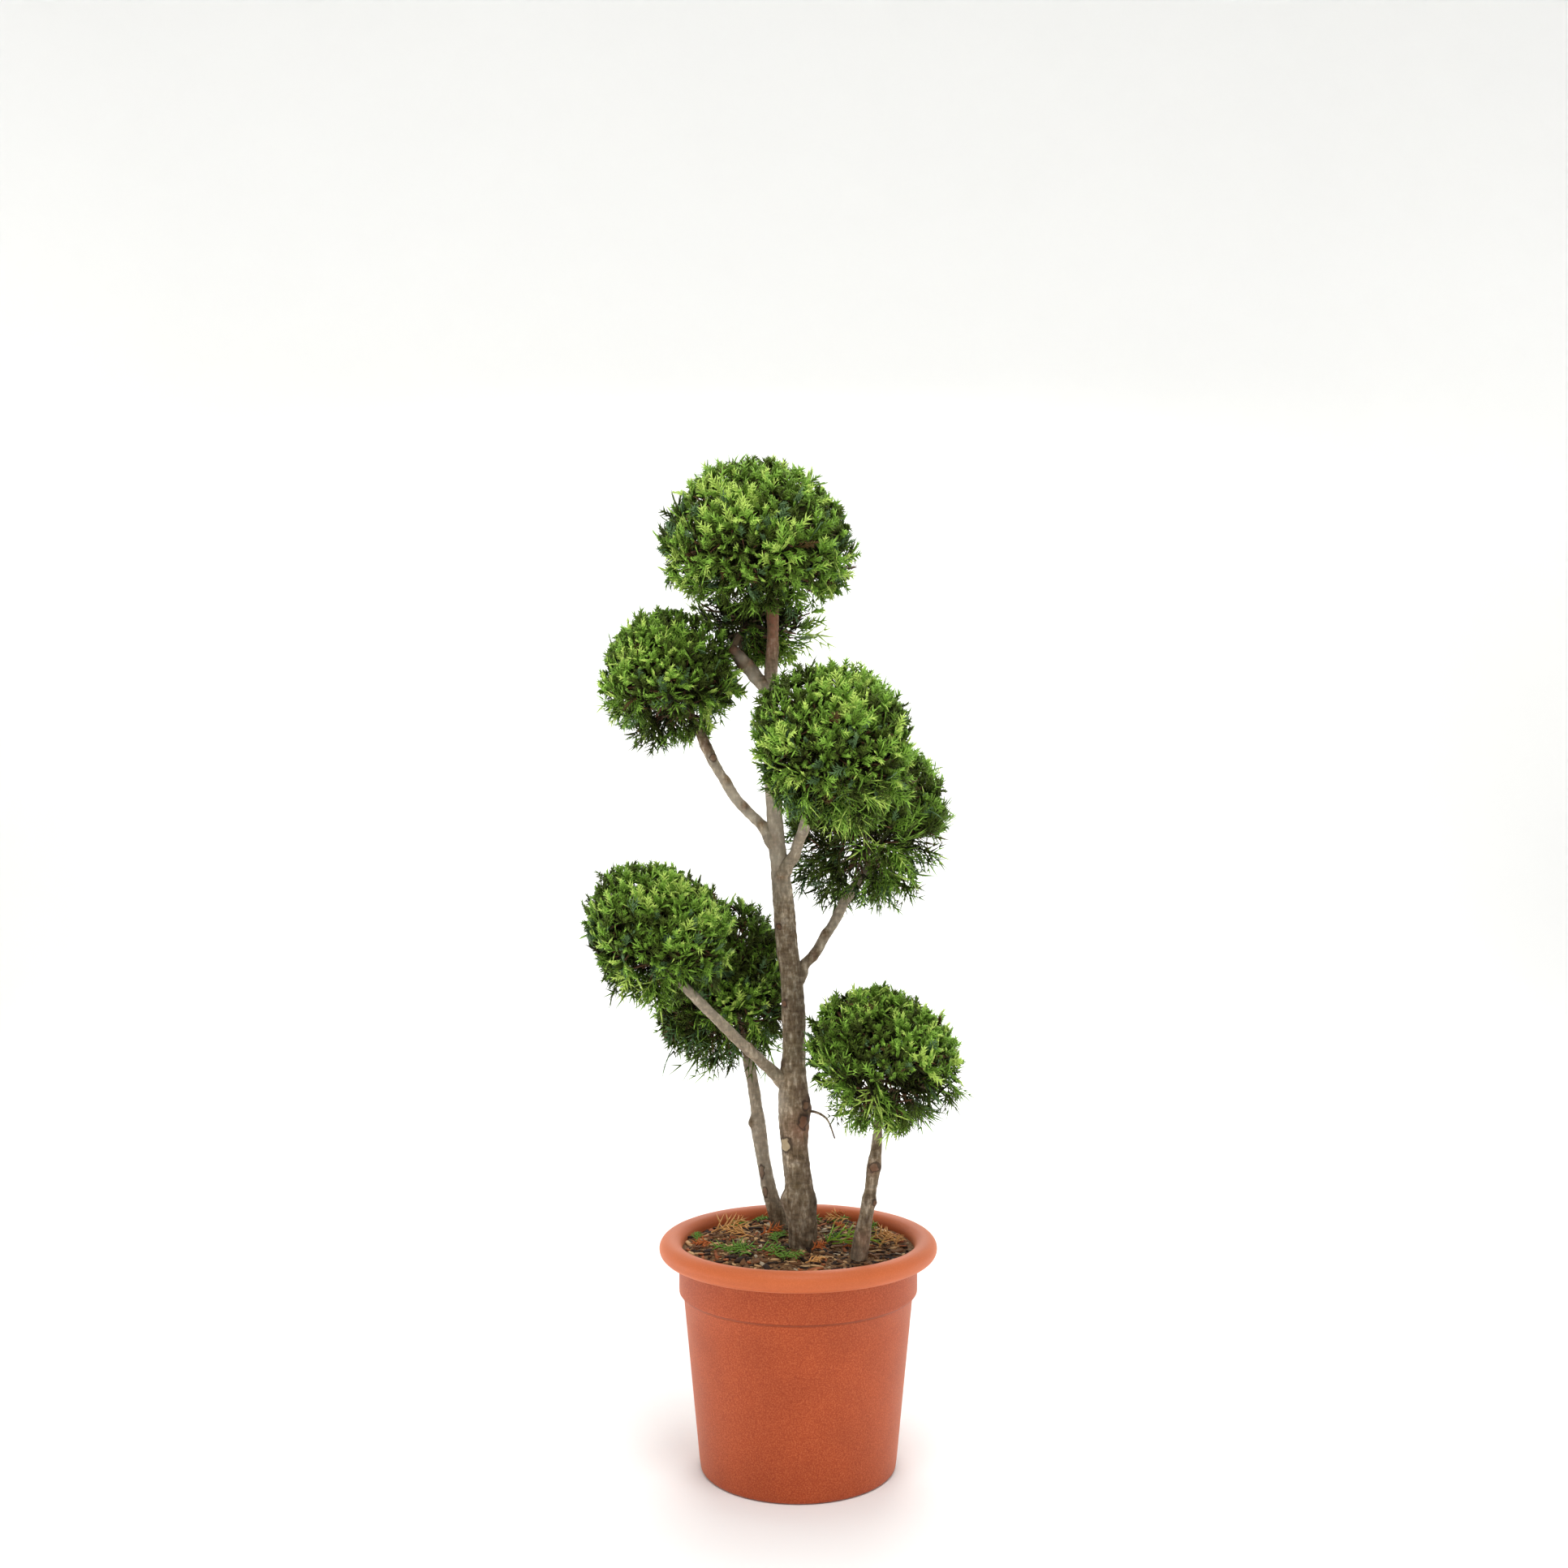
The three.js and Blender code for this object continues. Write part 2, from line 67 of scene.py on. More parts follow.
# Limbs: points are (x, y, z, radius) up the middle of each one, from its root to its tip.
LIMBS = {
    "trunk": [
        (5, -18, GROUND, 16.5), (6, -17, 305, 18.4), (3, -15, 330, 20.2), (1, -14, 346, 21.4),
        (1, -13, 360, 17.9), (-2, -12, 383, 16.9), (-4, -10, 408, 17.2), (-5, -8, 432, 18.8),
        (-6, -6, 457, 20.2), (-6, -4, 482, 19), (-6, -1, 515, 16.2), (-5, 0, 535, 15),
        (-9, 0, 627, 14.2), (-17, 0, 697, 13.8), (-20, 0, 735, 13), (-23, 0, 766, 12),
        (-28, 0, 803, 10.5), (-35, 0, 902, 9.2), (-36, 0, 1002, 8.8), (-33, 0, 1064, 8),
        (-34, 0, 1117, 7.6), (-42, 0, 1212, 4.5),
    ],
    "rear_stem": [
        (-22, 73, GROUND, 11.5), (-37, 75, 329, 10.3), (-43, 77, 355, 9.3), (-49, 80, 389, 9.3),
        (-54, 83, 423, 9.8), (-57, 86, 449, 7.8), (-61, 89, 475, 7.7), (-68, 94, 510, 7.2),
    ],
    "front_stem": [
        (75, -75, GROUND, 10.5), (79, -75, 307, 11.2), (85, -75, 340, 8.8), (88, -75, 357, 9.1),
        (91, -75, 373, 7.7), (94, -76, 397, 8.5), (97, -77, 422, 6.8), (100, -79, 457, 5.6),
    ],
    "lower_left_bough": [
        (-8, 0, 483, 8.6), (-35, -12, 510, 7.3), (-74, -38, 550, 6.9), (-114, -62, 594, 6.5),
        (-151, -82, 635, 6), (-161, -88, 648, 5.6),
    ],
    "middle_right_bough": [
        (-6, 0, 617, 8.2), (3, 3, 634, 7.2), (9, 6, 645, 6.9), (18, 10, 654, 6.6),
        (27, 16, 666, 6.4), (34, 22, 678, 6.4), (43, 28, 691, 6.6), (51, 34, 704, 6.8),
        (64, 42, 729, 6.8), (83, 50, 754, 6.5), (92, 56, 766, 6),
    ],
    "middle_front_bough": [
        (-23, 0, 761, 9), (-14, -7, 775, 8.2), (-5, -12, 786, 7.6), (0, -18, 802, 7.3),
        (7, -30, 820, 7), (10, -42, 834, 6.6), (12, -52, 846, 6),
    ],
    "upper_left_bough": [
        (-27, 0, 797, 8.6), (-38, 0, 811, 7.8), (-47, 1, 825, 7.2), (-68, 3, 845, 6.7),
        (-88, 5, 870, 6.5), (-103, 7, 895, 6.4), (-118, 8, 923, 6.8), (-129, 10, 948, 6.2),
    ],
    "top_fork_bough": [
        (-34, 0, 996, 8.2), (-47, 0, 1008, 8.4), (-64, 4, 1029, 8.8), (-76, 6, 1042, 8.2),
        (-87, 8, 1053, 6.6),
    ],
    "dead_twig": [
        (4, -6, 452, 1.9), (18, -12, 457, 1.7), (36, -18, 449, 1.4), (47, -22, 424, 0.9),
    ],
}

# Masses: centre, half sizes, lean, fullness above and below its middle, the limb that carries it, number of
# main twigs, core shares above and below, seed, how many clumps of sprays make its clipped face, the height
# (as a direction's z) below which it is open, and how dark its place on the plant makes it, as painted
# shade on its sprays' tones; below 0 it is painted light.
MASSES = {
    "top_foliage": {
        "centre": (-53, 0, 1191), "half": (131, 118, 106), "lean": -0.04, "fullness": (2, 2.3),
        "limb": "trunk", "twigs": 34, "core": (0.77, 0.56), "seed": 1,
        "clumps": 350, "open_below": -0.55, "shade": 0,
    },
    "under_top_foliage": {
        "centre": (-62, 46, 1094), "half": (103, 58, 63), "lean": 0.2, "fullness": (2.2, 2.6),
        "limb": "top_fork_bough", "twigs": 34, "core": None, "seed": 12,
        "clumps": 280, "open_below": 0.4, "shade": -0.45,
    },
    "upper_left_foliage": {
        "centre": (-165, 10, 1014), "half": (95, 92, 96), "lean": 0.08, "fullness": (2.2, 1.9),
        "limb": "upper_left_bough", "twigs": 28, "core": (0.77, 0.58), "seed": 3,
        "clumps": 290, "open_below": -0.3, "shade": 0.04,
    },
    "middle_front_foliage": {
        "centre": (44, -98, 923), "half": (102, 94, 103), "lean": -0.1, "fullness": (2.3, 2.7),
        "limb": "middle_front_bough", "twigs": 28, "core": (0.77, 0.6), "seed": 4,
        "clumps": 310, "open_below": -0.5, "shade": 0,
    },
    "middle_right_foliage": {
        "centre": (89, 86, 824), "half": (121, 97, 124), "lean": 0.11, "fullness": (2.2, 2.1),
        "limb": "middle_right_bough", "twigs": 30, "core": (0.75, 0.48), "seed": 5,
        "clumps": 330, "open_below": 0.12, "shade": 0.08,
    },
    "lower_left_foliage": {
        "centre": (-177, -54, 687), "half": (93, 90, 95), "lean": -0.13, "fullness": (2.1, 2.1),
        "limb": "lower_left_bough", "twigs": 28, "core": (0.77, 0.54), "seed": 6,
        "clumps": 290, "open_below": -0.35, "shade": 0.06,
    },
    "lower_rear_foliage": {
        "centre": (-99, 116, 602), "half": (92, 88, 125), "lean": 0.08, "fullness": (1.9, 2.6),
        "limb": "rear_stem", "twigs": 28, "core": (0.77, 0.6), "seed": 7,
        "clumps": 290, "open_below": -0.4, "shade": 0.1,
    },
    "lower_right_foliage": {
        "centre": (106, -90, 538), "half": (102, 94, 93), "lean": -0.2, "fullness": (1.8, 2.5),
        "limb": "front_stem", "twigs": 28, "core": (0.77, 0.54), "seed": 8,
        "clumps": 300, "open_below": -0.1, "shade": 0.07,
    },
}
for mass_row in MASSES.values():
    mass_row["centre"] = np.array(mass_row["centre"], float)
    mass_row["half"] = np.array(mass_row["half"], float)

# The source's rule for twigs and sprays.
SPRAY_LIFT = 0.4
SPRAY_DROOP = 0.15
DROOP_BELOW = -0.3
STEM_TAPER = 0.8
HEART_LIFT = 0.12
LOWEST_TWIG = 0.35
HIGH_TWIG = 0.4
TWIG_REACH = 0.6
TWIG_ROOT_RADIUS = 2.4
LUMP_SIZE = 0.04
MIDDLE_BAND = 0.3
CORE_BAND = (-0.1, 0.8)
LIMB_CLEARANCE = 1.5
NEIGHBOUR_CLEARANCE = 0.04
GOLDEN_ANGLE = math.pi * (3 - math.sqrt(5))


def chance(seed, number):
    """A repeatable value from 0 to 1 for each seed and number, as in the source."""
    wave = np.sin(seed * 12.9898 + np.asarray(number, float) * 78.233) * 43758.5453
    return wave - np.floor(wave)


def draws(seed, serial, count):
    """A function that gives each of many things a chance, and another for each order it is given."""
    return lambda order: chance(seed, serial + order * count)


def around(value, share):
    """A chance turned into a factor: 1, give or take a share."""
    return 1 - share + 2 * share * value


def unit(vectors):
    """The same directions at length 1."""
    return vectors / np.linalg.norm(vectors, axis=-1, keepdims=True)


def smoothstep(value, low, high):
    """Eases from 0 at the low value to 1 at the high one."""
    share = np.clip((value - low) / (high - low), 0, 1)
    return share * share * (3 - 2 * share)


# Materials

def linear(hex_colour):
    """An sRGB hex colour as the linear values that Blender works in."""
    channels = [int(hex_colour[i:i + 2], 16) / 255 for i in (1, 3, 5)]
    return [c / 12.92 if c <= 0.04045 else ((c + 0.055) / 1.055) ** 2.4 for c in channels] + [1]


def set_values(made, values):
    """Sets a node's sockets and options by name. Stops are the places and hex colours of a ramp."""
    for key, value in values.items():
        if key == "stops":
            elements = made.color_ramp.elements
            while len(elements) < len(value):
                elements.new(0.5)
            for element, (place, colour) in zip(elements, value):
                element.position = place
                element.color = linear(colour)
        elif key in made.inputs:
            made.inputs[key].default_value = value
        else:
            setattr(made, key, value)


def node(tree, kind, values=None, links=None):
    """Adds a shader node, with its values and the sockets that feed it."""
    made = tree.nodes.new(kind)
    set_values(made, values or {})
    for key, source in (links or {}).items():
        tree.links.new(source, made.inputs[key])
    return made


def new_material(name, values):
    """A material, its node tree and its main shader, which gets the values."""
    material = bpy.data.materials.new(name)
    material.use_nodes = True
    shader = material.node_tree.nodes["Principled BSDF"]
    set_values(shader, values)
    return material, material.node_tree, shader


def plain_materials(kind, finishes):
    """Even colours for small pieces that vary by many colours side by side. Each finish is a name, a
    colour, a roughness and a specular level."""
    made = []
    for name, colour, roughness, specular in finishes:
        values = {"Base Color": linear(colour), "Roughness": roughness, "Specular IOR Level": specular}
        made.append(new_material(kind + "_" + name, values)[0])
    return made


# Foliage: scale leaves of living cypress, waxy and slightly glossy. From the freshest tips in full light,
# through the greens of the clipped face, to the dull brown-green inside. The lightest tones are partly
# painted light, and the darkest, shaded, is partly painted shade deep inside.
FOLIAGE = plain_materials("cypress_scale_leaf", [
    ("lime_tip", "#b6d262", 0.55, 0.18),
    ("fresh", "#8db747", 0.55, 0.18),
    ("bright_green", "#709633", 0.56, 0.18),
    ("green", "#5c7a25", 0.58, 0.18),
    ("deep_green", "#4a5c1b", 0.6, 0.18),
    ("dark_green", "#394412", 0.62, 0.18),
    ("shaded", "#262508", 0.65, 0.2),
    ("blue_underside", "#567347", 0.6, 0.28),
    ("browned", "#54401f", 0.7, 0.2),
])
DARKEST, UNDERSIDE, BROWNED = range(len(FOLIAGE))[-3:]

# Twigs: thin young bark, from the grey-brown of the stem to the green-brown of the finest.
TWIG_BARK = plain_materials("cypress_twig_bark", [
    ("grey_brown", "#7a6750", 0.8, 0.3),
    ("red_brown", "#6b4a33", 0.75, 0.3),
    ("green_brown", "#5a5a2e", 0.7, 0.3),
])


# Meshes

def finish_piece(piece, slot_name, *nodes):
    """Ties a piece to the part's body and hides the CAD nodes that it stands in for. The slot name is not
    used.
    """
    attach(piece, "root")
    if nodes:
        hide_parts(*nodes)


def add_object(name, data):
    """Puts an object with this data in the scene."""
    made = bpy.data.objects.new(name, data)
    bpy.context.scene.collection.objects.link(made)
    return made


def deselect():
    """Leaves object mode with nothing selected, so that an operator acts only on what comes next."""
    if bpy.context.object and bpy.context.object.mode != "OBJECT":
        bpy.ops.object.mode_set(mode="OBJECT")
    bpy.ops.object.select_all(action="DESELECT")


def joined_mesh(name, vertices, faces, which, materials):
    """One mesh of many small closed solids, from arrays of corners in millimetres and of triangles."""
    mesh = bpy.data.meshes.new(name)
    mesh.vertices.add(len(vertices))
    mesh.vertices.foreach_set("co", (vertices * MM).astype(np.float32).ravel())
    mesh.loops.add(faces.size)
    mesh.loops.foreach_set("vertex_index", faces.astype(np.int32).ravel())
    mesh.polygons.add(len(faces))
    mesh.polygons.foreach_set("loop_start", np.arange(0, faces.size, 3, dtype=np.int32))
    for material in materials:
        mesh.materials.append(material)
    mesh.polygons.foreach_set("material_index", which.astype(np.int32))
    mesh.update(calc_edges=True)
    mesh.validate()
    return add_object(name, mesh)


# A shoot is a slim closed spike of four faces: a ring of three corners at its root, and a tip. Its back
# and its ridge stand off its line by these shares of half its width.
SHOOT_FACES = np.array([(0, 2, 1), (3, 0, 1), (3, 1, 2), (3, 2, 0)])
SHOOT_BACK = 0.25
SHOOT_RIDGE = 0.7


def shoots_between(roots, tips, across, face, widths):
    """Corners of one shoot for each pair of ends. Across and face are its two side directions."""
    half = 0.5 * widths[:, None]
    ring = [
        roots - across * half - face * SHOOT_BACK * half,
        roots + across * half - face * SHOOT_BACK * half,
        roots + face * SHOOT_RIDGE * half,
    ]
    return np.stack([*ring, tips], axis=1)


def prism_faces(sides):
    """Triangles of a closed prism whose corners are a low ring and then a high one."""
    faces = []
    for i in range(sides):
        j = (i + 1) % sides
        faces += [(i, j, sides + i), (j, sides + j, sides + i)]
        if 0 < i < sides - 1:
            faces += [(0, i + 1, i), (sides, sides + i, sides + i + 1)]
    return np.array(faces)


# A bar steeper than this, as its direction's z, takes its sides from +X and not from +Z.
STEEP = 0.9


def bars_between(roots, tips, root_radius, tip_radius, sides):
    """Closed tapered bars, one for each pair of ends: corners and triangles."""
    along = unit(tips - roots)
    side = unit(np.cross(along, np.where(np.abs(along[:, 2:]) < STEEP, UP, RIGHT)))
    other = np.cross(along, side)
    angles = (2 * math.pi * np.arange(sides) / sides)[None, :, None]
    circle = side[:, None] * np.cos(angles) + other[:, None] * np.sin(angles)
    ends = [
        middles[:, None] + circle * np.broadcast_to(radius, len(roots))[:, None, None]
        for middles, radius in ((roots, root_radius), (tips, tip_radius))
    ]
    return np.concatenate(ends, axis=1), prism_faces(sides)


def stack(corners, faces):
    """Many copies of the same small solid as one list of corners and one of triangles."""
    count, size = corners.shape[:2]
    offsets = size * np.arange(count)[:, None, None]
    return corners.reshape(-1, 3), (faces[None] + offsets).reshape(-1, 3)


# Limb lines

class Line:
    """The middle line and thickness of a limb: a centripetal Catmull-Rom curve, as in the source."""

    def __init__(self, points):
        self.points = np.array(points, float)

    def at(self, shares):
        places = self._curve(self.points[:, :3], shares)
        radii = self._curve(np.pad(self.points[:, 3:], ((0, 0), (0, 2))), shares)[:, 0]
        return places, radii

    @staticmethod
    def _curve(points, shares):
        ends = np.vstack([2 * points[0] - points[1], points, 2 * points[-1] - points[-2]])
        spans = len(points) - 1
        place = np.clip(np.asarray(shares, float), 0, 1) * spans
        first = np.minimum(place.astype(int), spans - 1)
        t = (place - first)[:, None]
        p0, p1, p2, p3 = (ends[first + k] for k in range(4))
        d0, d1, d2 = (
            np.sqrt(np.linalg.norm(b - a, axis=1, keepdims=True)) for a, b in ((p0, p1), (p1, p2), (p2, p3))
        )
        d1 = np.where(d1 < 1e-4, 1, d1)
        d0 = np.where(d0 < 1e-4, d1, d0)
        d2 = np.where(d2 < 1e-4, d1, d2)
        m1 = ((p1 - p0) / d0 - (p2 - p0) / (d0 + d1) + (p2 - p1) / d1) * d1
        m2 = ((p2 - p1) / d1 - (p3 - p1) / (d1 + d2) + (p3 - p2) / d2) * d1
        return p1 + m1 * t + (3 * (p2 - p1) - 2 * m1 - m2) * t ** 2 + (2 * (p1 - p2) + m1 + m2) * t ** 3


LIMB_SAMPLES = 61
LINES = {name: Line(points) for name, points in LIMBS.items()}
LIMB_PLACES = [line.at(np.linspace(0, 1, LIMB_SAMPLES)) for line in LINES.values()]
LIMB_MIDDLES = np.vstack([places for places, _ in LIMB_PLACES])
LIMB_RADII = np.concatenate([radii for _, radii in LIMB_PLACES])


# The source's rule for the masses

def reach(mass, directions):
    """How far a mass reaches from its centre in each direction, lumps and lean included."""
    above, below = mass["fullness"]
    power = above + (below - above) * smoothstep(-directions[..., 2], -MIDDLE_BAND, MIDDLE_BAND)[..., None]
    leaning = directions - directions[..., 2:] * np.array([mass["lean"], 0, 0])
    parts = (np.abs(leaning) / mass["half"]) ** power
    plain = parts.sum(-1) ** (-1 / power[..., 0])
    lumps = (
        np.sin(4 * directions[..., 0] + 1.7 * mass["seed"])
        + np.sin(5 * directions[..., 1] + 2.3 * mass["seed"])
        + np.sin(4 * directions[..., 2] + 3.1 * mass["seed"])
    )
    return plain * (1 + LUMP_SIZE * lumps / 2)


def share_of_reach(mass, places):
    """How far out each place is, from 0 at a mass's centre to 1 at its surface."""
    arms = places - mass["centre"]
    lengths = np.linalg.norm(arms, axis=-1)
    return lengths / reach(mass, arms / np.maximum(lengths, 1e-6)[..., None])


def core_share(mass, places):
    """How far out a mass's fused core goes towards each place."""
    if not mass["core"]:
        return np.zeros(places.shape[:-1])
    direction = unit(places - mass["centre"])
    above, below = mass["core"]
    return above + (below - above) * smoothstep(-direction[..., 2], *CORE_BAND)


def leaves_space(mass, places):
    """Whether each place is outside a mass's own space, where some other mass is nearer."""
    own = share_of_reach(mass, places)
    outside = np.zeros(own.shape, bool)
    for other in MASSES.values():
        if other is not mass:
            taken = np.maximum(own, core_share(other, places))
            outside |= share_of_reach(other, places) < taken + NEIGHBOUR_CLEARANCE
    return outside


def touches_limb(places):
    """Whether each place is on or in a limb, or closer to one than the clearance."""
    flat = places.reshape(-1, 3)
    touching = np.zeros(len(flat), bool)
    for middle, radius in zip(LIMB_MIDDLES, LIMB_RADII):
        touching |= ((flat - middle) ** 2).sum(1) < (radius + LIMB_CLEARANCE) ** 2
    return touching.reshape(places.shape[:-1])


def spread_directions(count, seed):
    """Directions spread evenly all round by the golden angle, each nudged a little."""
    index = np.arange(count)
    height = 1 - (2 * index + 1) / count
    ring = np.sqrt(1 - height ** 2)
    angle = index * GOLDEN_ANGLE + seed
    nudge = 0.5 / math.sqrt(count)
    return unit(np.stack([
        ring * np.cos(angle) + nudge * (chance(seed, index) - 0.5),
        ring * np.sin(angle) + nudge * (chance(seed, index + count) - 0.5),
        height,
    ], axis=1))


def growth_of(directions):
    """The way that sprays grow: outward and up, or drooping on a mass's underside."""
    lifts = np.where(directions[:, 2] > DROOP_BELOW, SPRAY_LIFT, -SPRAY_DROOP)
    return unit(directions + lifts[:, None] * UP)


def frames_along(growth, rolls):
    """Side and face directions of a flat spray that grows along each direction, turned by a roll. The
    side is +X, carried by the turn that takes +Y to the growth."""
    axis = np.cross(AWAY, growth)
    share = 1 / (1 + np.clip(growth[:, 1], -0.999, 1))
    side = RIGHT + np.cross(axis, RIGHT)
    side += np.cross(axis, np.cross(axis, RIGHT)) * share[:, None]
    side = unit(side - growth * (side * growth).sum(1, keepdims=True))
    face = np.cross(side, growth)
    turned = side * np.cos(rolls)[:, None] + face * np.sin(rolls)[:, None]
    return turned, np.cross(turned, growth)


# Spray forms: a midrib of shoots with side shoots in one plane, on a length of 1. A layout says how many
# pairs of side shoots there are, where the first sits, the step to the next, how much that wanders, the
# first one's length and how much shorter each next one is.
DENSE_FORMS = 6
OPEN_FORMS = 4
DENSE_SEED = 40
OPEN_SEED = 60
MIDRIB = [(0, -0.04, 0, 0.4, 0.9), (0, 0.24, 0, 0.72, 0.95), (0, 0.56, 0, 1, 1)]
DENSE_LAYOUT = {"pairs": 4, "first": 0.08, "step": 0.18, "wander": 0.06, "longest": 0.46, "shorter": 0.07}
OPEN_LAYOUT = {"pairs": 2, "first": 0.1, "step": 0.24, "wander": 0.1, "longest": 0.6, "shorter": 0.12}
FORKED_PAIRS = 2
STAGGER = 0.08
SIDE_ANGLE = 32
SIDE_ANGLE_RANGE = 18
LENGTH_RANGE = 0.25
# Forks of a dense form's side shoots: where they leave, how long they are, the degrees that they turn
# outward or inward, and the share that turns inward.
FORK_PLACE = 0.35
FORK_PLACE_RANGE = 0.2
FORK_LENGTH = 0.55
FORK_OUT = 42
FORK_IN = -40
FORK_IN_SHARE = 0.4
FORK_WIDTH = 0.85
# Each side shoot of an open form forks both ways, a little inward and wide outward, by angles in degrees.
OPEN_SHOOT = 0.68
OPEN_FORK_PLACE = 0.55
INWARD_RANGE = 22
INWARD_LENGTH = 0.5
OUTWARD_ANGLE = 30
OUTWARD_RANGE = 10
OUTWARD_LENGTH = 0.42
OUTWARD_WIDTH = 0.75


def ahead(root, angle, length):
    """A place at a length and an angle from a root, on the spray's own plane."""
    return root[0] + length * math.sin(angle), root[1] + length * math.cos(angle)


def side_shoots(varied, pairs, first, step, wander, longest, shorter):
    """Side shoots, left and right in turn: pair, order of its chances, way, root, angle, length."""
    for i in range(pairs):
        for way in (-1, 1):
            order = 10 * i + 5 * (way + 1)
            root = (0, first + step * i + wander * varied(order + 2) + (STAGGER if way > 0 else 0))
            length = (longest - shorter * i) * around(varied(order + 3), LENGTH_RANGE)
            angle = math.radians(SIDE_ANGLE + SIDE_ANGLE_RANGE * varied(order + 4))
            yield i, order, way, root, angle, length


def dense_form(number):
    """Shoots of a feathery spray, in rows of root x, root y, tip x, tip y and width."""
    varied = draws(DENSE_SEED + number, 0, 1)
    rows = list(MIDRIB)
    for i, order, way, root, angle, length in side_shoots(varied, **DENSE_LAYOUT):
        rows.append((*root, *ahead(root, way * angle, length), 1))
        if i < FORKED_PAIRS:
            fork = ahead(root, way * angle, length * (FORK_PLACE + FORK_PLACE_RANGE * varied(order + 6)))
            turn = angle + math.radians(FORK_OUT if varied(order + 7) > FORK_IN_SHARE else FORK_IN)
            rows.append((*fork, *ahead(fork, way * turn, FORK_LENGTH * length), FORK_WIDTH))
    return np.array(rows)


def open_form(number):
    """Shoots of a thin, wide-forked spray, as where a mass hangs open, in rows like a dense form's."""
    varied = draws(OPEN_SEED + number, 0, 1)
    rows = list(MIDRIB)
    for _, order, way, root, angle, length in side_shoots(varied, **OPEN_LAYOUT):
        fork = ahead(root, way * angle, OPEN_FORK_PLACE * length)
        inward = angle - math.radians(INWARD_RANGE * varied(order + 5))
        outward = angle + math.radians(OUTWARD_ANGLE + OUTWARD_RANGE * varied(order + 6))
        rows.append((*root, *ahead(root, way * angle, OPEN_SHOOT * length), 1))
        rows.append((*fork, *ahead(fork, way * inward, INWARD_LENGTH * length), FORK_WIDTH))
        rows.append((*fork, *ahead(fork, way * outward, OUTWARD_LENGTH * length), OUTWARD_WIDTH))
    return np.array(rows)


FORMS = np.stack([dense_form(i) for i in range(DENSE_FORMS)] + [open_form(i) for i in range(OPEN_FORMS)])
SHOOTS_PER_SPRAY = FORMS.shape[1]


def spray_corners(sprays):
    """Corners of all the shoots of many sprays, as one row of four for each shoot."""
    feet, growth, lengths = sprays["feet"], sprays["growth"], sprays["length"]
    side, face = frames_along(growth, sprays["roll"])
    rows = FORMS[sprays["form"]]

    def placed(x, y):
        """Places on the sprays, at shares of their length to the side and along, with their curl."""
        place = feet[:, None]
        for direction, share in ((side, x), (growth, y), (face, -sprays["curl"][:, None] * y ** 2)):
            place = place + direction[:, None] * (share * lengths[:, None])[..., None]
        return place.reshape(-1, 3)

    roots = placed(rows[..., 0], rows[..., 1])
    tips = placed(rows[..., 2], rows[..., 3])
    across = unit(np.cross(tips - roots, np.repeat(face, SHOOTS_PER_SPRAY, axis=0)))
    widths = (rows[..., 4] * sprays["width"][:, None]).reshape(-1)
    return shoots_between(roots, tips, across, np.cross(across, unit(tips - roots)), widths)


def nearest(directions, others):
    """Which of the other directions is nearest to each one."""
    return np.argmax(directions @ others.T, axis=1)


# Sprays of the clipped face. Depths, lengths and levels are shares of the mass's reach. Lacy parts are
# where a mass is open, and tufts are clumps that stand out from the face.
OPENING_BAND = (-0.1, 0.4)
CLUMP_SPRAYS = 6
CLUMP_DEPTH = 0.74
CLUMP_DEPTH_RANGE = 0.12
LACY_DEPTH = 0.36
FAN_START = 0.1
FAN_WIDTH = 1.3
LACY_NARROWER = 0.45
MORE_LIFT = 0.8
FACE_SPRAY_LENGTH = 0.28
LACY_LONGER = 0.3
SHORTEST = 0.35
FOOT_PUSH = 0.05
FACE_LEVEL = 0.81
TUFT_RISE = 0.16
TUFT_POWER = 1.5
SPRAY_RISE = 0.19
SPRAY_POWER = 1.3
FIRST_RISE = 0.05
LACY_RISE = 0.08
STRAY_RISE = 0.2
STRAY_SHARE = 0.08
LACY_LOSS = 0.45
SHOOT_WIDTH = 3.4
SHOOT_WIDTH_RANGE = 0.15
THIN_SHARE = 0.06
THIN_LACY_SHARE = 0.6
THIN_WIDTH = 0.85
ROLL_RANGE = 2
CURL = 0.1
CURL_RANGE = 0.25
# Tones: how much patches, clumps, tufts and single sprays differ in tone, and what that does. A tuft that
# stands out is lighter and a sunken one darker, as painted light and painted shade, and LACY_SHADE darkens
# open parts as painted shade.
PATCH_WAVES = (3.1, 2.7, 3.4)
PATCH_PHASES = (1.9, 2.7, 1.3)
PATCH_CROSSED = 1.6
PATCH_PLAIN = 0.6
PATCH_LIGHT = 0.3
CLUMP_LIGHT = 0.4
TUFT_LIGHT = 0.5
SPRAY_LIGHT = 1.1
LACY_SHADE = 0.15
TONE_MIDDLE = 3
TONE_RANGE = 3.9
UNDERSIDE_SHARE = 0.16
UNDERSIDE_BELOW = 0.35
BROWNED_SHARE = 0.012
SHOOT_FOOT = 0.45
SHOOT_TIP = 0.78
# Deep sprays, behind the face.
DEEP_SPRAYS = 1.3
DEEP_WANDER = 1.3
DEEP_SPRAY_LENGTH = 0.42
DEEP_LENGTH_RANGE = 0.2
DEEP_LEVEL = 0.58
DEEP_LEVEL_RANGE = 0.3
DEEP_WIDTH = 1.3
DEEP_THINNER = 0.4
DEEP_LOSS = 0.75
DEEP_DARKEST_SHARE = 0.45
DEEP_BROWNED_SHARE = 0.05
# Where a spray is tested for room, besides its foot and tip: at its middle and to both sides of that.
SPRAY_MIDDLE = 0.55
SPRAY_HALF_WIDTH = 0.3
# The top mass leaves its stem bare below this height and this near to the stem's line.
BARE_STEM_X = -33
BARE_STEM_RADIUS = 34
BARE_STEM_TOP = 1113
# Twigs: where side twigs and fine ones leave their main twig, as shares of its length, and the radii that
# each tier thins to.
SIDE_FORK = 0.4
SIDE_FORK_RANGE = 0.5
FINE_FORK = 0.7
SIDE_TWIG_RADIUS = 1.4
FINE_TWIG_RADIUS = 0.9
TWIG_END_RADIUS = 0.6


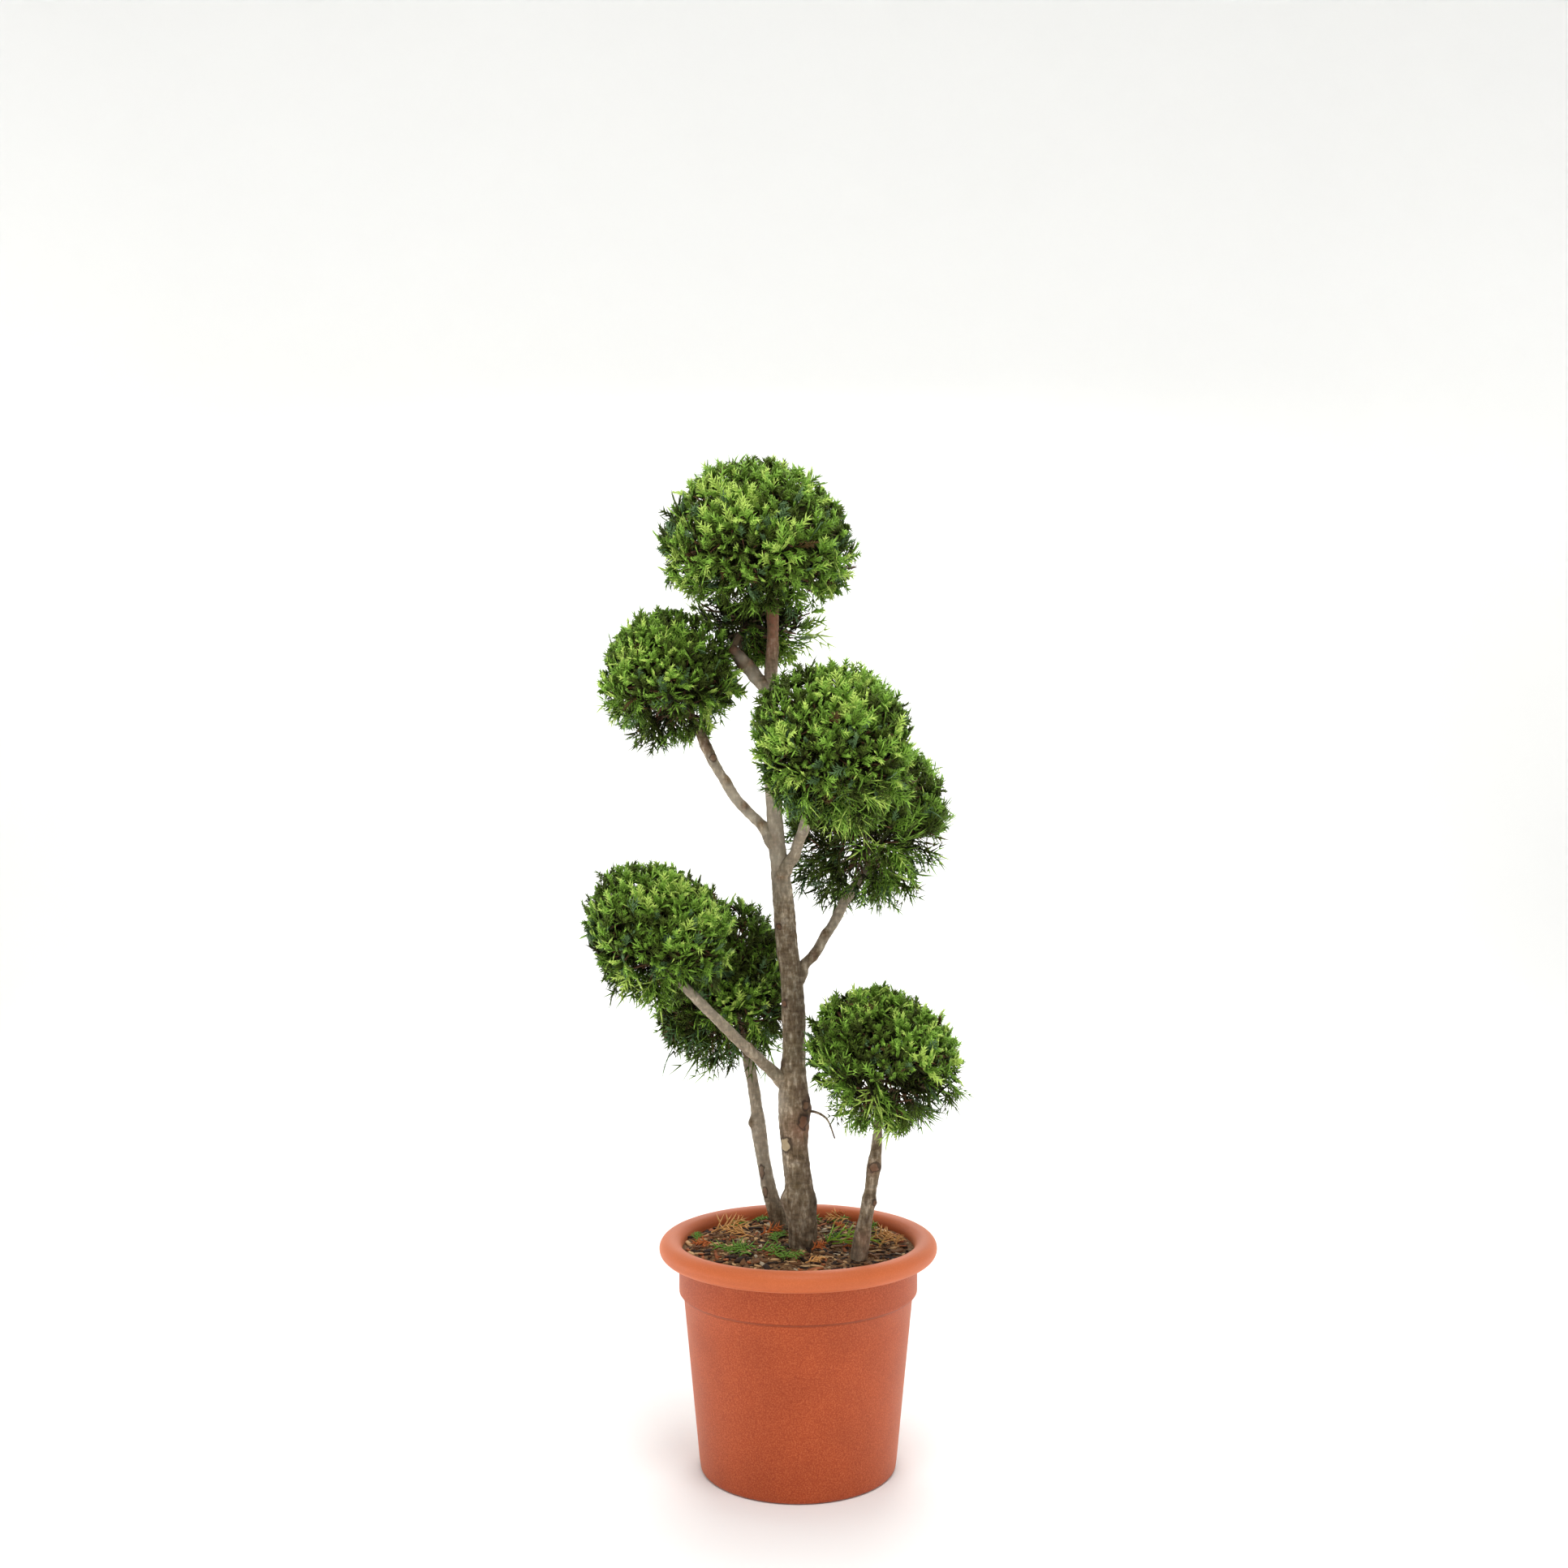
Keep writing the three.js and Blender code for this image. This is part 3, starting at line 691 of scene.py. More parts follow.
def openness(mass, directions):
    """0 where a mass is dense, 1 where it is open twigs and thin sprays."""
    return smoothstep(mass["open_below"] - directions[:, 2], *OPENING_BAND)


def patchy(mass, directions):
    """Broad patches of fresher and older growth over a mass, from 1 to -1."""
    waves = np.sin(directions * np.array(PATCH_WAVES) + mass["seed"] * np.array(PATCH_PHASES))
    return np.clip(PATCH_CROSSED * waves[:, 0] * waves[:, 2] + PATCH_PLAIN * waves[:, 1], -1, 1)


def turned_outward(growth, outward, turns):
    """Rolls that turn the flat side of each spray outward, give or take a turn."""
    side, face = frames_along(growth, np.zeros(len(growth)))
    across = np.cross(growth, outward)
    return np.arctan2((across * face).sum(1), (across * side).sum(1)) + turns


def kept_sprays(mass, sprays, keep):
    """The chosen sprays that stay in their mass's own space, clear of the limbs and of the bare stem."""
    feet, growth, length = sprays["feet"], sprays["growth"], sprays["length"][:, None]
    tips = feet + growth * length
    middle = feet + growth * (SPRAY_MIDDLE * length)
    to_side = frames_along(growth, sprays["roll"])[0] * (SPRAY_HALF_WIDTH * length)
    spots = np.stack([feet, tips, middle, middle + to_side, middle - to_side], axis=1)
    keep &= ~(leaves_space(mass, spots) | touches_limb(spots)).any(axis=1)
    if mass["limb"] == "trunk":
        near_stem = np.hypot(tips[:, 0] - BARE_STEM_X, tips[:, 1]) < BARE_STEM_RADIUS
        keep &= ~(near_stem & (tips[:, 2] < BARE_STEM_TOP))
    return {name: values[keep] for name, values in sprays.items()}


def face_sprays(mass):
    """Clumps of sprays that make the clipped face: each fans out from the tip of a side twig."""
    seed = mass["seed"]
    count = mass["clumps"] * CLUMP_SPRAYS
    varied = draws(seed, np.arange(count), count)
    clump = np.repeat(np.arange(mass["clumps"]), CLUMP_SPRAYS)
    place = np.tile(np.arange(CLUMP_SPRAYS), mass["clumps"])
    heading = spread_directions(mass["clumps"], seed + 0.5)[clump]
    size = reach(mass, heading)
    lacy = openness(mass, heading)
    tuft = chance(seed + 7, clump) ** TUFT_POWER

    depth = CLUMP_DEPTH + CLUMP_DEPTH_RANGE * chance(seed + 2, clump)
    depth -= LACY_DEPTH * lacy * chance(seed + 3, clump)
    origin = mass["centre"] + heading * (size * depth)[:, None]
    base = growth_of(heading)
    side, face = frames_along(base, 2 * math.pi * chance(seed + 4, clump))
    turn = place * GOLDEN_ANGLE
    spread = (
        (FAN_START + FAN_WIDTH * np.sqrt(place / CLUMP_SPRAYS)) * around(varied(1), LENGTH_RANGE)
        * (1 - LACY_NARROWER * lacy)
    )
    growth = base + side * (spread * np.cos(turn))[:, None] + face * (spread * np.sin(turn))[:, None]
    upward = np.where(heading[:, 2] > DROOP_BELOW, MORE_LIFT * varied(11), 0)
    growth = unit(growth + upward[:, None] * UP)

    length = size * (FACE_SPRAY_LENGTH + LACY_LONGER * lacy) * around(varied(2), LENGTH_RANGE)
    feet = origin + growth * (FOOT_PUSH * length)[:, None]
    level = FACE_LEVEL + TUFT_RISE * tuft + SPRAY_RISE * varied(3) ** SPRAY_POWER
    level += np.where(place < 1, FIRST_RISE, 0)
    level += LACY_RISE * lacy * varied(10)
    level += np.where(varied(23) < STRAY_SHARE, STRAY_RISE * lacy, 0)
    first = share_of_reach(mass, feet)
    last = share_of_reach(mass, feet + growth * length[:, None])
    length = length * np.clip((level - first) / np.maximum(last - first, 0.05), SHORTEST, 1)
    keep = (chance(seed + 5, clump) > LACY_LOSS * lacy) & (varied(5) > LACY_LOSS * lacy)

    # A mass's shade darkens all its sprays' tones as painted shade, and lightens them as painted light
    # where it is below 0.
    light = (
        PATCH_LIGHT * patchy(mass, heading) + CLUMP_LIGHT * (chance(seed + 6, clump) - 0.5)
        # Tufts that stand out are lighter and sunken ones darker, as painted light and painted shade; open
        # parts are darker by LACY_SHADE, as painted shade.
        + TUFT_LIGHT * (tuft - 0.5) + SPRAY_LIGHT * (varied(6) - 0.5) - mass["shade"] - LACY_SHADE * lacy
    )
    tone = np.clip(np.round(TONE_MIDDLE - TONE_RANGE * light), 0, DARKEST - 1).astype(int)
    turned_over = (varied(7) < UNDERSIDE_SHARE) & (heading[:, 2] < UNDERSIDE_BELOW) & (light < 0)
    tone = np.where(turned_over, UNDERSIDE, tone)
    thin = varied(21) < THIN_LACY_SHARE * lacy + THIN_SHARE
    form = np.where(thin, DENSE_FORMS + OPEN_FORMS * varied(12), DENSE_FORMS * varied(12))
    sprays = {
        "feet": feet, "growth": growth, "length": length, "heading": heading,
        "roll": turned_outward(growth, heading, ROLL_RANGE * (varied(20) - 0.5)),
        "tone": np.where(varied(8) < BROWNED_SHARE, BROWNED, tone),
        "form": form.astype(int), "curl": CURL + CURL_RANGE * varied(22),
        "width": SHOOT_WIDTH * around(varied(9), SHOOT_WIDTH_RANGE) * np.where(thin, THIN_WIDTH, 1),
        "clump": clump, "origin": origin,
    }
    return kept_sprays(mass, sprays, keep)


def deep_sprays(mass):
    """Shaded, older sprays behind the face, which hide the limbs inside."""
    seed = mass["seed"] + 20
    count = int(mass["clumps"] * DEEP_SPRAYS)
    varied = draws(seed, np.arange(count), count)
    heading = spread_directions(count, seed)
    size = reach(mass, heading)
    lacy = openness(mass, heading)
    wander = np.stack([varied(1), varied(2), varied(3)], axis=1) - 0.5
    growth = unit(growth_of(heading) + DEEP_WANDER * wander)
    length = size * DEEP_SPRAY_LENGTH * around(varied(4), DEEP_LENGTH_RANGE)
    level = DEEP_LEVEL + DEEP_LEVEL_RANGE * varied(5)
    tip = mass["centre"] + heading * (size * level)[:, None]
    # The deep sprays' two darkest tones are partly painted shade, for the shade inside the mass.
    tone = np.where(varied(7) < DEEP_DARKEST_SHARE, DARKEST, DARKEST - 1)
    sprays = {
        "feet": tip - growth * length[:, None], "growth": growth, "length": length, "heading": heading,
        "roll": math.pi * varied(20),
        "tone": np.where(varied(8) < DEEP_BROWNED_SHARE, BROWNED, tone),
        "form": (DENSE_FORMS * varied(12)).astype(int), "curl": CURL + CURL_RANGE * varied(22),
        "width": DEEP_WIDTH * SHOOT_WIDTH * (1 - DEEP_THINNER * lacy),
    }
    return kept_sprays(mass, sprays, varied(6) > DEEP_LOSS * lacy)


def shoot_tones(sprays):
    """The colour of every shoot: a step darker at the foot of its spray and a step fresher at the tip."""
    tone = sprays["tone"][:, None]
    up_to = FORMS[sprays["form"]][..., 3]
    shaded = tone + np.where(up_to < SHOOT_FOOT, 1, 0) - np.where(up_to > SHOOT_TIP, 1, 0)
    return np.where(tone >= UNDERSIDE, tone, np.clip(shaded, 0, DARKEST)).reshape(-1)


def twig_tiers(mass, face, deep):
    """The stem, the main twigs, a side twig to each clump and a fine one to each deep spray. Each tier is
    roots, tips, radius at both ends, sides and bark."""
    (root,), (limb_radius,) = LINES[mass["limb"]].at([1])
    heart = mass["centre"] + HEART_LIFT * mass["half"][2] * UP
    main = spread_directions(mass["twigs"], mass["seed"])
    leave = LOWEST_TWIG + (1 - LOWEST_TWIG) * smoothstep(main[:, 2], -1, HIGH_TWIG)
    main_root = root + leave[:, None] * (heart - root)
    main_tip = mass["centre"] + main * (reach(mass, main) * TWIG_REACH)[:, None]
    along = main_tip - main_root
    far_along = 0.6 * main_tip + 0.4 * main_root
    clear = ~(leaves_space(mass, main_tip) | touches_limb(far_along))

    clumps, first = np.unique(face["clump"], return_index=True)
    carrier = nearest(face["heading"][first], main)
    fork = SIDE_FORK + SIDE_FORK_RANGE * chance(mass["seed"], clumps + 700)
    side_root = main_root[carrier] + fork[:, None] * along[carrier]
    deep_carrier = nearest(deep["heading"], main)
    deep_root = main_root[deep_carrier] + FINE_FORK * along[deep_carrier]
    return [
        (root[None], heart[None], STEM_TAPER * limb_radius, TWIG_ROOT_RADIUS, 8, 0),
        (main_root[clear], main_tip[clear], TWIG_ROOT_RADIUS, SIDE_TWIG_RADIUS, 5, 0),
        (side_root, face["origin"][first], SIDE_TWIG_RADIUS, FINE_TWIG_RADIUS, 4, 1),
        (deep_root, deep["feet"], FINE_TWIG_RADIUS, TWIG_END_RADIUS, 3, 2),
    ]


def grow_mass(name, mass):
    """One mass: a piece of sprays, and a piece of the twigs that carry them from its stem."""
    face = face_sprays(mass)
    deep = deep_sprays(mass)
    sprays = {key: np.concatenate([face[key], deep[key]]) for key in deep}
    vertices, triangles = stack(spray_corners(sprays), SHOOT_FACES)
    which = np.repeat(shoot_tones(sprays), len(SHOOT_FACES))
    leaves = joined_mesh(name.replace("foliage", "sprays"), vertices, triangles, which, FOLIAGE)
    finish_piece(leaves, "foliage", name)

    vertices, triangles, which, offset = [], [], [], 0
    for roots, tips, thick, thin, sides, bark in twig_tiers(mass, face, deep):
        corners, faces = stack(*bars_between(roots, tips, thick, thin, sides))
        vertices.append(corners)
        triangles.append(faces + offset)
        which.append(np.full(len(faces), bark))
        offset += len(corners)
    twigs = joined_mesh(
        name.replace("foliage", "twigs"), np.vstack(vertices), np.vstack(triangles), np.concatenate(which),
        TWIG_BARK,
    )
    finish_piece(twigs, "bark", name)


for mass_name, mass_row in MASSES.items():
    grow_mass(mass_name, mass_row)


# Bark: young smooth bark, grey-brown with paler streaks and fine rings. It flakes to red-brown in places,
# is dark at its scars, and is dull and slightly rough. In places it is also made paler as painted light and
# darker as painted shade. Its patterns' sizes are in millimetres.
BARK_STREAK = 5.5
BARK_RING = 4
BARK_BLOTCH = 34
BARK_GRAIN_DEPTH = 0.8
# How the pattern's place is scaled, to draw streaks out along a limb and rings out across it.
ALONG_LIMB = (1, 1, 0.4)
ACROSS_LIMB = (0.35, 0.35, 1)
# The streaks' colours, the rings' shades, and the masks of the other layers, which are black where a
# layer does nothing.
STREAK_COLOURS = [
    (0.3, "#54442f"), (0.43, "#6d5d48"), (0.5, "#7c6c57"), (0.57, "#8d7e69"), (0.7, "#b8ab96"),
]
RING_SHADES = [(0.36, "#5a5650"), (0.64, "#dedad4")]
MOSS_PATCHES = [(0.52, "#000000"), (0.72, "#6e6e6e")]
FLAKES = [(0.4, "#5c5c5c"), (0.54, "#ffffff")]
PRUNING_RIM = [(0.16, "#000000"), (0.32, "#e6e6e6"), (0.44, "#e6e6e6"), (0.58, "#000000")]
PRUNING_FACE = [(0.42, "#000000"), (0.58, "#d0d0d0")]
MOSS = "#75724c"
FLAKED_BARK = "#8a5640"
PALE_BARK_AND_PAINTED_LIGHT = "#cbc1b0"
SCAR_AND_PAINTED_SHADE = "#33241a"
KNOT_WOOD = "#6e4a34"
CUT_WOOD = "#c4b08c"


def bark_material():
    """Streaked and ringed bark, with each other colour laid over it where its mask lets it show."""
    material, tree, shader = new_material("cypress_bark_smooth_grey_brown", {
        "Roughness": 0.82, "Specular IOR Level": 0.3,
    })
    place = node(tree, "ShaderNodeTexCoord").outputs["Object"]
    along = node(tree, "ShaderNodeMapping", {"Scale": ALONG_LIMB}, {"Vector": place})
    across = node(tree, "ShaderNodeMapping", {"Scale": ACROSS_LIMB}, {"Vector": place})
    streaks = node(
        tree, "ShaderNodeTexNoise", {"Scale": 1 / (BARK_STREAK * MM), "Detail": 4, "Roughness": 0.62},
        {"Vector": along.outputs["Vector"]},
    ).outputs["Fac"]
    rings = node(
        tree, "ShaderNodeTexNoise", {"Scale": 1 / (BARK_RING * MM), "Detail": 4, "Roughness": 0.6},
        {"Vector": across.outputs["Vector"]},
    ).outputs["Fac"]
    blotches = node(
        tree, "ShaderNodeTexNoise", {"Scale": 1 / (BARK_BLOTCH * MM), "Detail": 3}, {"Vector": place},
    ).outputs["Fac"]
    reddened, paled, scarred, knot, cut = (
        node(tree, "ShaderNodeAttribute", {"attribute_name": name}).outputs["Fac"]
        for name in ("reddened", "paled", "scarred", "knot", "cut")
    )
    base, ring_shade, mossy, flaky, knot_rim, knot_face, cut_rim, cut_face = (
        node(tree, "ShaderNodeValToRGB", {"stops": stops}, {"Fac": source}).outputs["Color"]
        for source, stops in (
            (streaks, STREAK_COLOURS), (rings, RING_SHADES), (blotches, MOSS_PATCHES), (streaks, FLAKES),
            (knot, PRUNING_RIM), (knot, PRUNING_FACE), (cut, PRUNING_RIM), (cut, PRUNING_FACE),
        )
    )
    flaked = node(tree, "ShaderNodeMath", {"operation": "MULTIPLY"}, {0: reddened, 1: flaky})
    colour = node(tree, "ShaderNodeMix", {"data_type": "RGBA", "blend_type": "OVERLAY", "Factor": 0.42},
                  {"A": base, "B": ring_shade}).outputs["Result"]
    # The pale and the scar masks also carry painted light and painted shade, besides pale bark and scars.
    for mask, tint in (
        (mossy, MOSS), (flaked.outputs["Value"], FLAKED_BARK), (paled, PALE_BARK_AND_PAINTED_LIGHT), (scarred, SCAR_AND_PAINTED_SHADE),
        (knot_rim, SCAR_AND_PAINTED_SHADE), (knot_face, KNOT_WOOD), (cut_rim, SCAR_AND_PAINTED_SHADE), (cut_face, CUT_WOOD),
    ):
        colour = node(tree, "ShaderNodeMix", {"data_type": "RGBA", "B": linear(tint)},
                      {"Factor": mask, "A": colour}).outputs["Result"]
    bump = node(tree, "ShaderNodeBump", {"Strength": 0.6, "Distance": BARK_GRAIN_DEPTH * MM},
                {"Height": rings})
    tree.links.new(colour, shader.inputs["Base Color"])
    tree.links.new(bump.outputs["Normal"], shader.inputs["Normal"])
    return material


BARK = bark_material()

# Marks on the bark of each limb: (x, y, z), radius, height of the bump, redness, darkness.
MARKS = {
    "trunk": [
        ((-24, -17, 344), 8, 2.5, 0.2, 0.5), ((22, -22, 341), 8, 2.5, 0, 0.6),
        # The wide flat marks at x 24 darken the trunk's right side as painted shade, and those at x -24
        # pale its left side as painted light.
        ((24, -8, 415), 22, 0, 0.3, 0.35), ((24, -8, 378), 20, 0, 0.1, 0.25),
        ((24, -8, 340), 20, 0, 0, 0.2), ((-24, -8, 470), 20, 0, 0, -0.35),
        ((-24, -10, 385), 20, 0, 0, -0.3), ((-24, -10, 345), 18, 0, 0, -0.25),
        ((6, -20, 451), 7, 3, 0.4, 1.1), ((14, -14, 473), 6, 3.5, 0.4, 0.9),
        ((16, -8, 460), 8, 3, 0.4, 0.3), ((5, -20, 440), 20, 0.5, 0.65, 0.05),
        ((4, -20, 488), 12, 1, 0.2, 0.35), ((-20, -8, 517), 6, 1.5, 0.2, 0.6),
        ((-24, -12, 695), 5, 1.2, 0.3, 0.5), ((-22, -12, 596), 6, 1.2, 0.3, 0.4),
        ((-22, -11, 760), 8, 1, 0.3, 0.3), ((-40, -9, 805), 10, 1.5, 0.4, 0.3),
        ((-34, -8, 1040), 32, 0, 0.3, 0.1), ((-33, -8, 1085), 34, 0, 0.65, 0),
        ((-36, -8, 1130), 34, 0, 0.7, 0.1),
    ],
    "rear_stem": [
        ((-66, 78, 424), 7, 3.5, 0.1, 0.4),
    ],
    "front_stem": [
        ((94, -83, 399), 9, 1, 0.4, 0.1), ((96, -82, 356), 5, 2.2, 0, 0.4),
        ((86, -83, 335), 5, 0, 0, 0.7), ((80, -84, 315), 9, 0, 0.35, 0.2),
        ((98, -81, 440), 12, 0, 0, 0.15),
    ],
    "top_fork_bough": [
        ((-90, 3, 1055), 16, 2, 0.8, 0), ((-95, 4, 1050), 6, 3.5, 0.3, 0.2),
        ((-72, -6, 1042), 7, 3, 0.2, -0.2), ((-76, 0, 1028), 7, 2.5, 0.3, 0.4),
        ((-58, -4, 1014), 7, 2.5, 0.5, -0.3), ((-62, 0, 1033), 6, 2.5, 0.4, 0.3),
        ((-44, -4, 1012), 8, 2, 0.3, 0.3),
    ],
    "upper_left_bough": [
        ((-118, 4, 930), 12, 1.5, 0.3, 0.3), ((-92, 4, 884), 7, 2, 0.2, 0.5),
        ((-70, 2, 848), 7, 1.8, 0.3, 0.4), ((-48, 0, 826), 6, 1.6, 0.2, 0.4),
    ],
    "lower_left_bough": [
        ((-60, -30, 545), 6, 1.5, 0.2, 0.4),
    ],
    "middle_right_bough": [
        ((34, 18, 684), 6, 1.8, 0.2, 0.4), ((20, 8, 655), 7, 1.5, 0.3, 0.4),
    ],
    "dead_twig": [
        ((48, -22, 421), 8, 0, 0.6, 0.6),
    ],
}

# Where boughs were pruned or died, on each limb: (x, y, z), radius, stretch along it, and what it left.
PRUNINGS = {
    "trunk": [
        ((-13, -18, 416), 9.5, 1, "cut"), ((4, -21, 445), 6.5, 1.4, "knot"),
        ((10, -19, 466), 5.5, 1, "knot"), ((-22, -12, 596), 5, 1, "knot"),
        ((-24, -12, 695), 4, 1, "knot"),
    ],
    "rear_stem": [
        ((-52, 68, 362), 4, 2.2, "knot"), ((-44, 67, 335), 3.6, 2, "knot"),
    ],
    "front_stem": [
        ((94, -83, 401), 6, 0.9, "knot"), ((96, -82, 356), 4, 1, "knot"),
    ],
    "upper_left_bough": [
        ((-110, 4, 912), 5, 1, "knot"),
    ],
}

# How much paler or, below 0, darker the bark is than its usual colour: pairs of height and tone. The paler
# tones are partly painted light, lifting bark that the foliage shades.
BARK_TONES = {
    "trunk": [
        (300, -0.2), (360, -0.1), (430, 0), (520, -0.1), (590, -0.26), (700, -0.08), (780, 0.4),
        (1000, 0.25), (1050, 0.1), (1100, -0.08),
    ],
    "rear_stem": [(300, -0.05), (360, 0.3), (510, 0.15)],
    "front_stem": [(300, 0.1), (400, 0), (440, 0)],
    "lower_left_bough": [(490, 0.1), (640, 0.3)],
    "middle_right_bough": [(620, 0), (700, 0.25)],
    "middle_front_bough": [(760, 0.1), (800, 0.25)],
    "upper_left_bough": [(790, 0.15), (840, 0.42), (900, 0.25), (960, -0.1)],
    "top_fork_bough": [(990, 0.3), (1040, 0.25), (1056, 0)],
}

# How each limb's bark is made: rings along it, steps of its round bevel, relief, and how much wider its
# collar is where it leaves the trunk.
BOUGH_BARK = (120, 12, 0.7, 0.35)
OTHER_BARK = {
    "trunk": (420, 22, 1.0, 0),
    "rear_stem": (150, 12, 0.7, 0),
    "front_stem": (130, 12, 0.7, 0),
    "dead_twig": (24, 3, 0.15, 0),
}
MIDDLE_SAMPLES = 400
COLLAR_PLACE = 0.06
COLLAR_LENGTH = 0.09
# Swells, ridges, rings and grain of the relief: width, height and share.
BARK_RELIEF = [(22, 46, 1.2), (6, 24, 0.9), (40, 5, 0.7), (2.6, 6, 0.5)]
PRUNING_UNEVENNESS = 0.45
PRUNING_GRAIN = 4.5
PRUNING_HEIGHT = 0.12
FLAT_FOOT = 0.5


def limb_solid(name, line, rings, bevel_steps, collar):
    """A limb as by hand: a curve with a round bevel that thins along it, turned into a mesh."""
    shares = np.linspace(0, 1, rings)
    places, radii = line.at(shares)
    radii = radii * (1 + collar * np.exp(-((shares - COLLAR_PLACE) / COLLAR_LENGTH) ** 2))
    deselect()
    bpy.ops.curve.primitive_nurbs_path_add(location=(0, 0, 0))
    bpy.context.object.name = name
    curve = bpy.context.object.data
    curve.splines.clear()
    spline = curve.splines.new("POLY")
    spline.points.add(rings - 1)
    for point, place, radius in zip(spline.points, places * MM, radii * MM):
        point.co = (*place, 1)
        point.radius = radius
    curve.dimensions = "3D"
    curve.bevel_depth = 1
    curve.bevel_resolution = bevel_steps
    curve.use_fill_caps = True
    bpy.ops.object.convert(target="MESH")
    return bpy.context.object


def nearest_corner(corners, place):
    """The corner of a mesh that is nearest to a place."""
    return corners[np.argmin(((corners - np.array(place)) ** 2).sum(1))]


def add_relief(mesh, limb_name, line, amount, seed):
    """Ridges, rings and knots of the bark, pushed in or out along the way from the limb's middle. What
    they do to its colour is kept in the mesh's attributes."""
    corners = np.zeros(len(mesh.vertices) * 3)
    mesh.vertices.foreach_get("co", corners)
    corners = corners.reshape(-1, 3) / MM
    middles, _ = line.at(np.linspace(0, 1, MIDDLE_SAMPLES))
    outward = corners - middles[np.argmin(((corners[:, None] - middles[None]) ** 2).sum(2), axis=1)]
    outward /= np.maximum(np.linalg.norm(outward, axis=1, keepdims=True), 1e-6)
    push = np.array([
        amount * sum(
            share * noise.noise((x / wide, y / wide, z / tall + seed)) for wide, tall, share in BARK_RELIEF
        )
        for x, y, z in corners
    ])
    red, dark, knot, cut = np.zeros((4, len(corners)))
    for place, radius, height, redness, darkness in MARKS.get(limb_name, []):
        spot = nearest_corner(corners, place)
        near = np.exp(-((corners - spot) ** 2).sum(1) / radius ** 2)
        push += height * near
        red += redness * near
        dark += darkness * near
    uneven = np.array([
        1 + PRUNING_UNEVENNESS * noise.noise(tuple(corner / PRUNING_GRAIN)) for corner in corners
    ])
    for place, radius, stretch, kind in PRUNINGS.get(limb_name, []):
        away = (corners - nearest_corner(corners, place)) / (1, 1, stretch)
        near = np.exp(-(away ** 2).sum(1) / (radius * uneven) ** 2)
        left = cut if kind == "cut" else knot
        left[:] = np.maximum(left, near)
        push += PRUNING_HEIGHT * radius * near
    moved = corners + outward * push[:, None]
    # A limb that stands in the soil is cut flat there.
    if line.points[0, 2] == GROUND:
        moved[:, 2] = np.maximum(moved[:, 2], GROUND)
        moved[corners[:, 2] < GROUND + FLAT_FOOT, 2] = GROUND
    mesh.vertices.foreach_set("co", (moved * MM).ravel())
    # The marks' darkness and the bark tones, which are partly painted light and painted shade, become the
    # pale and dark masks.
    heights, tones = zip(*BARK_TONES.get(limb_name, [(0, 0)]))
    dark -= np.interp(corners[:, 2], heights, tones)
    looks = {"reddened": red, "scarred": dark, "paled": -dark, "knot": knot, "cut": cut}
    for attribute, values in looks.items():
        layer = mesh.attributes.new(attribute, "FLOAT", "POINT")
        layer.data.foreach_set("value", np.clip(values, 0, 1).astype(np.float32))
    mesh.update()


for number, (limb_name, limb_line) in enumerate(LINES.items()):
    ring_count, bevel_steps, relief, collar = OTHER_BARK.get(limb_name, BOUGH_BARK)
    made = limb_solid(limb_name + "_bark", limb_line, ring_count, bevel_steps, collar)
    add_relief(made.data, limb_name, limb_line, relief, 10 * number)
    bpy.ops.object.shade_smooth()
    made.data.materials.clear()
    made.data.materials.append(BARK)
    finish_piece(made, "bark", limb_name)


# Pot plastic: injection-moulded polypropylene, terracotta coloured. Matt, with a fine moulded grain that
# breaks up the highlight and a faint dusty speckle. Its paler lip is painted light, and the dark line under
# the band is painted shade.
POT_SPECKLE = 1.6
POT_CLOUD = 60
POT_GRAIN_DEPTH = 0.15
POT_SIDES = 192
POT_CREASE = 50
WALL_FOOT = 12
WALL_RINGS = 8
FOOT_STEPS = 5
LIP_STEPS = 28
INNER_LIP_STEPS = 20


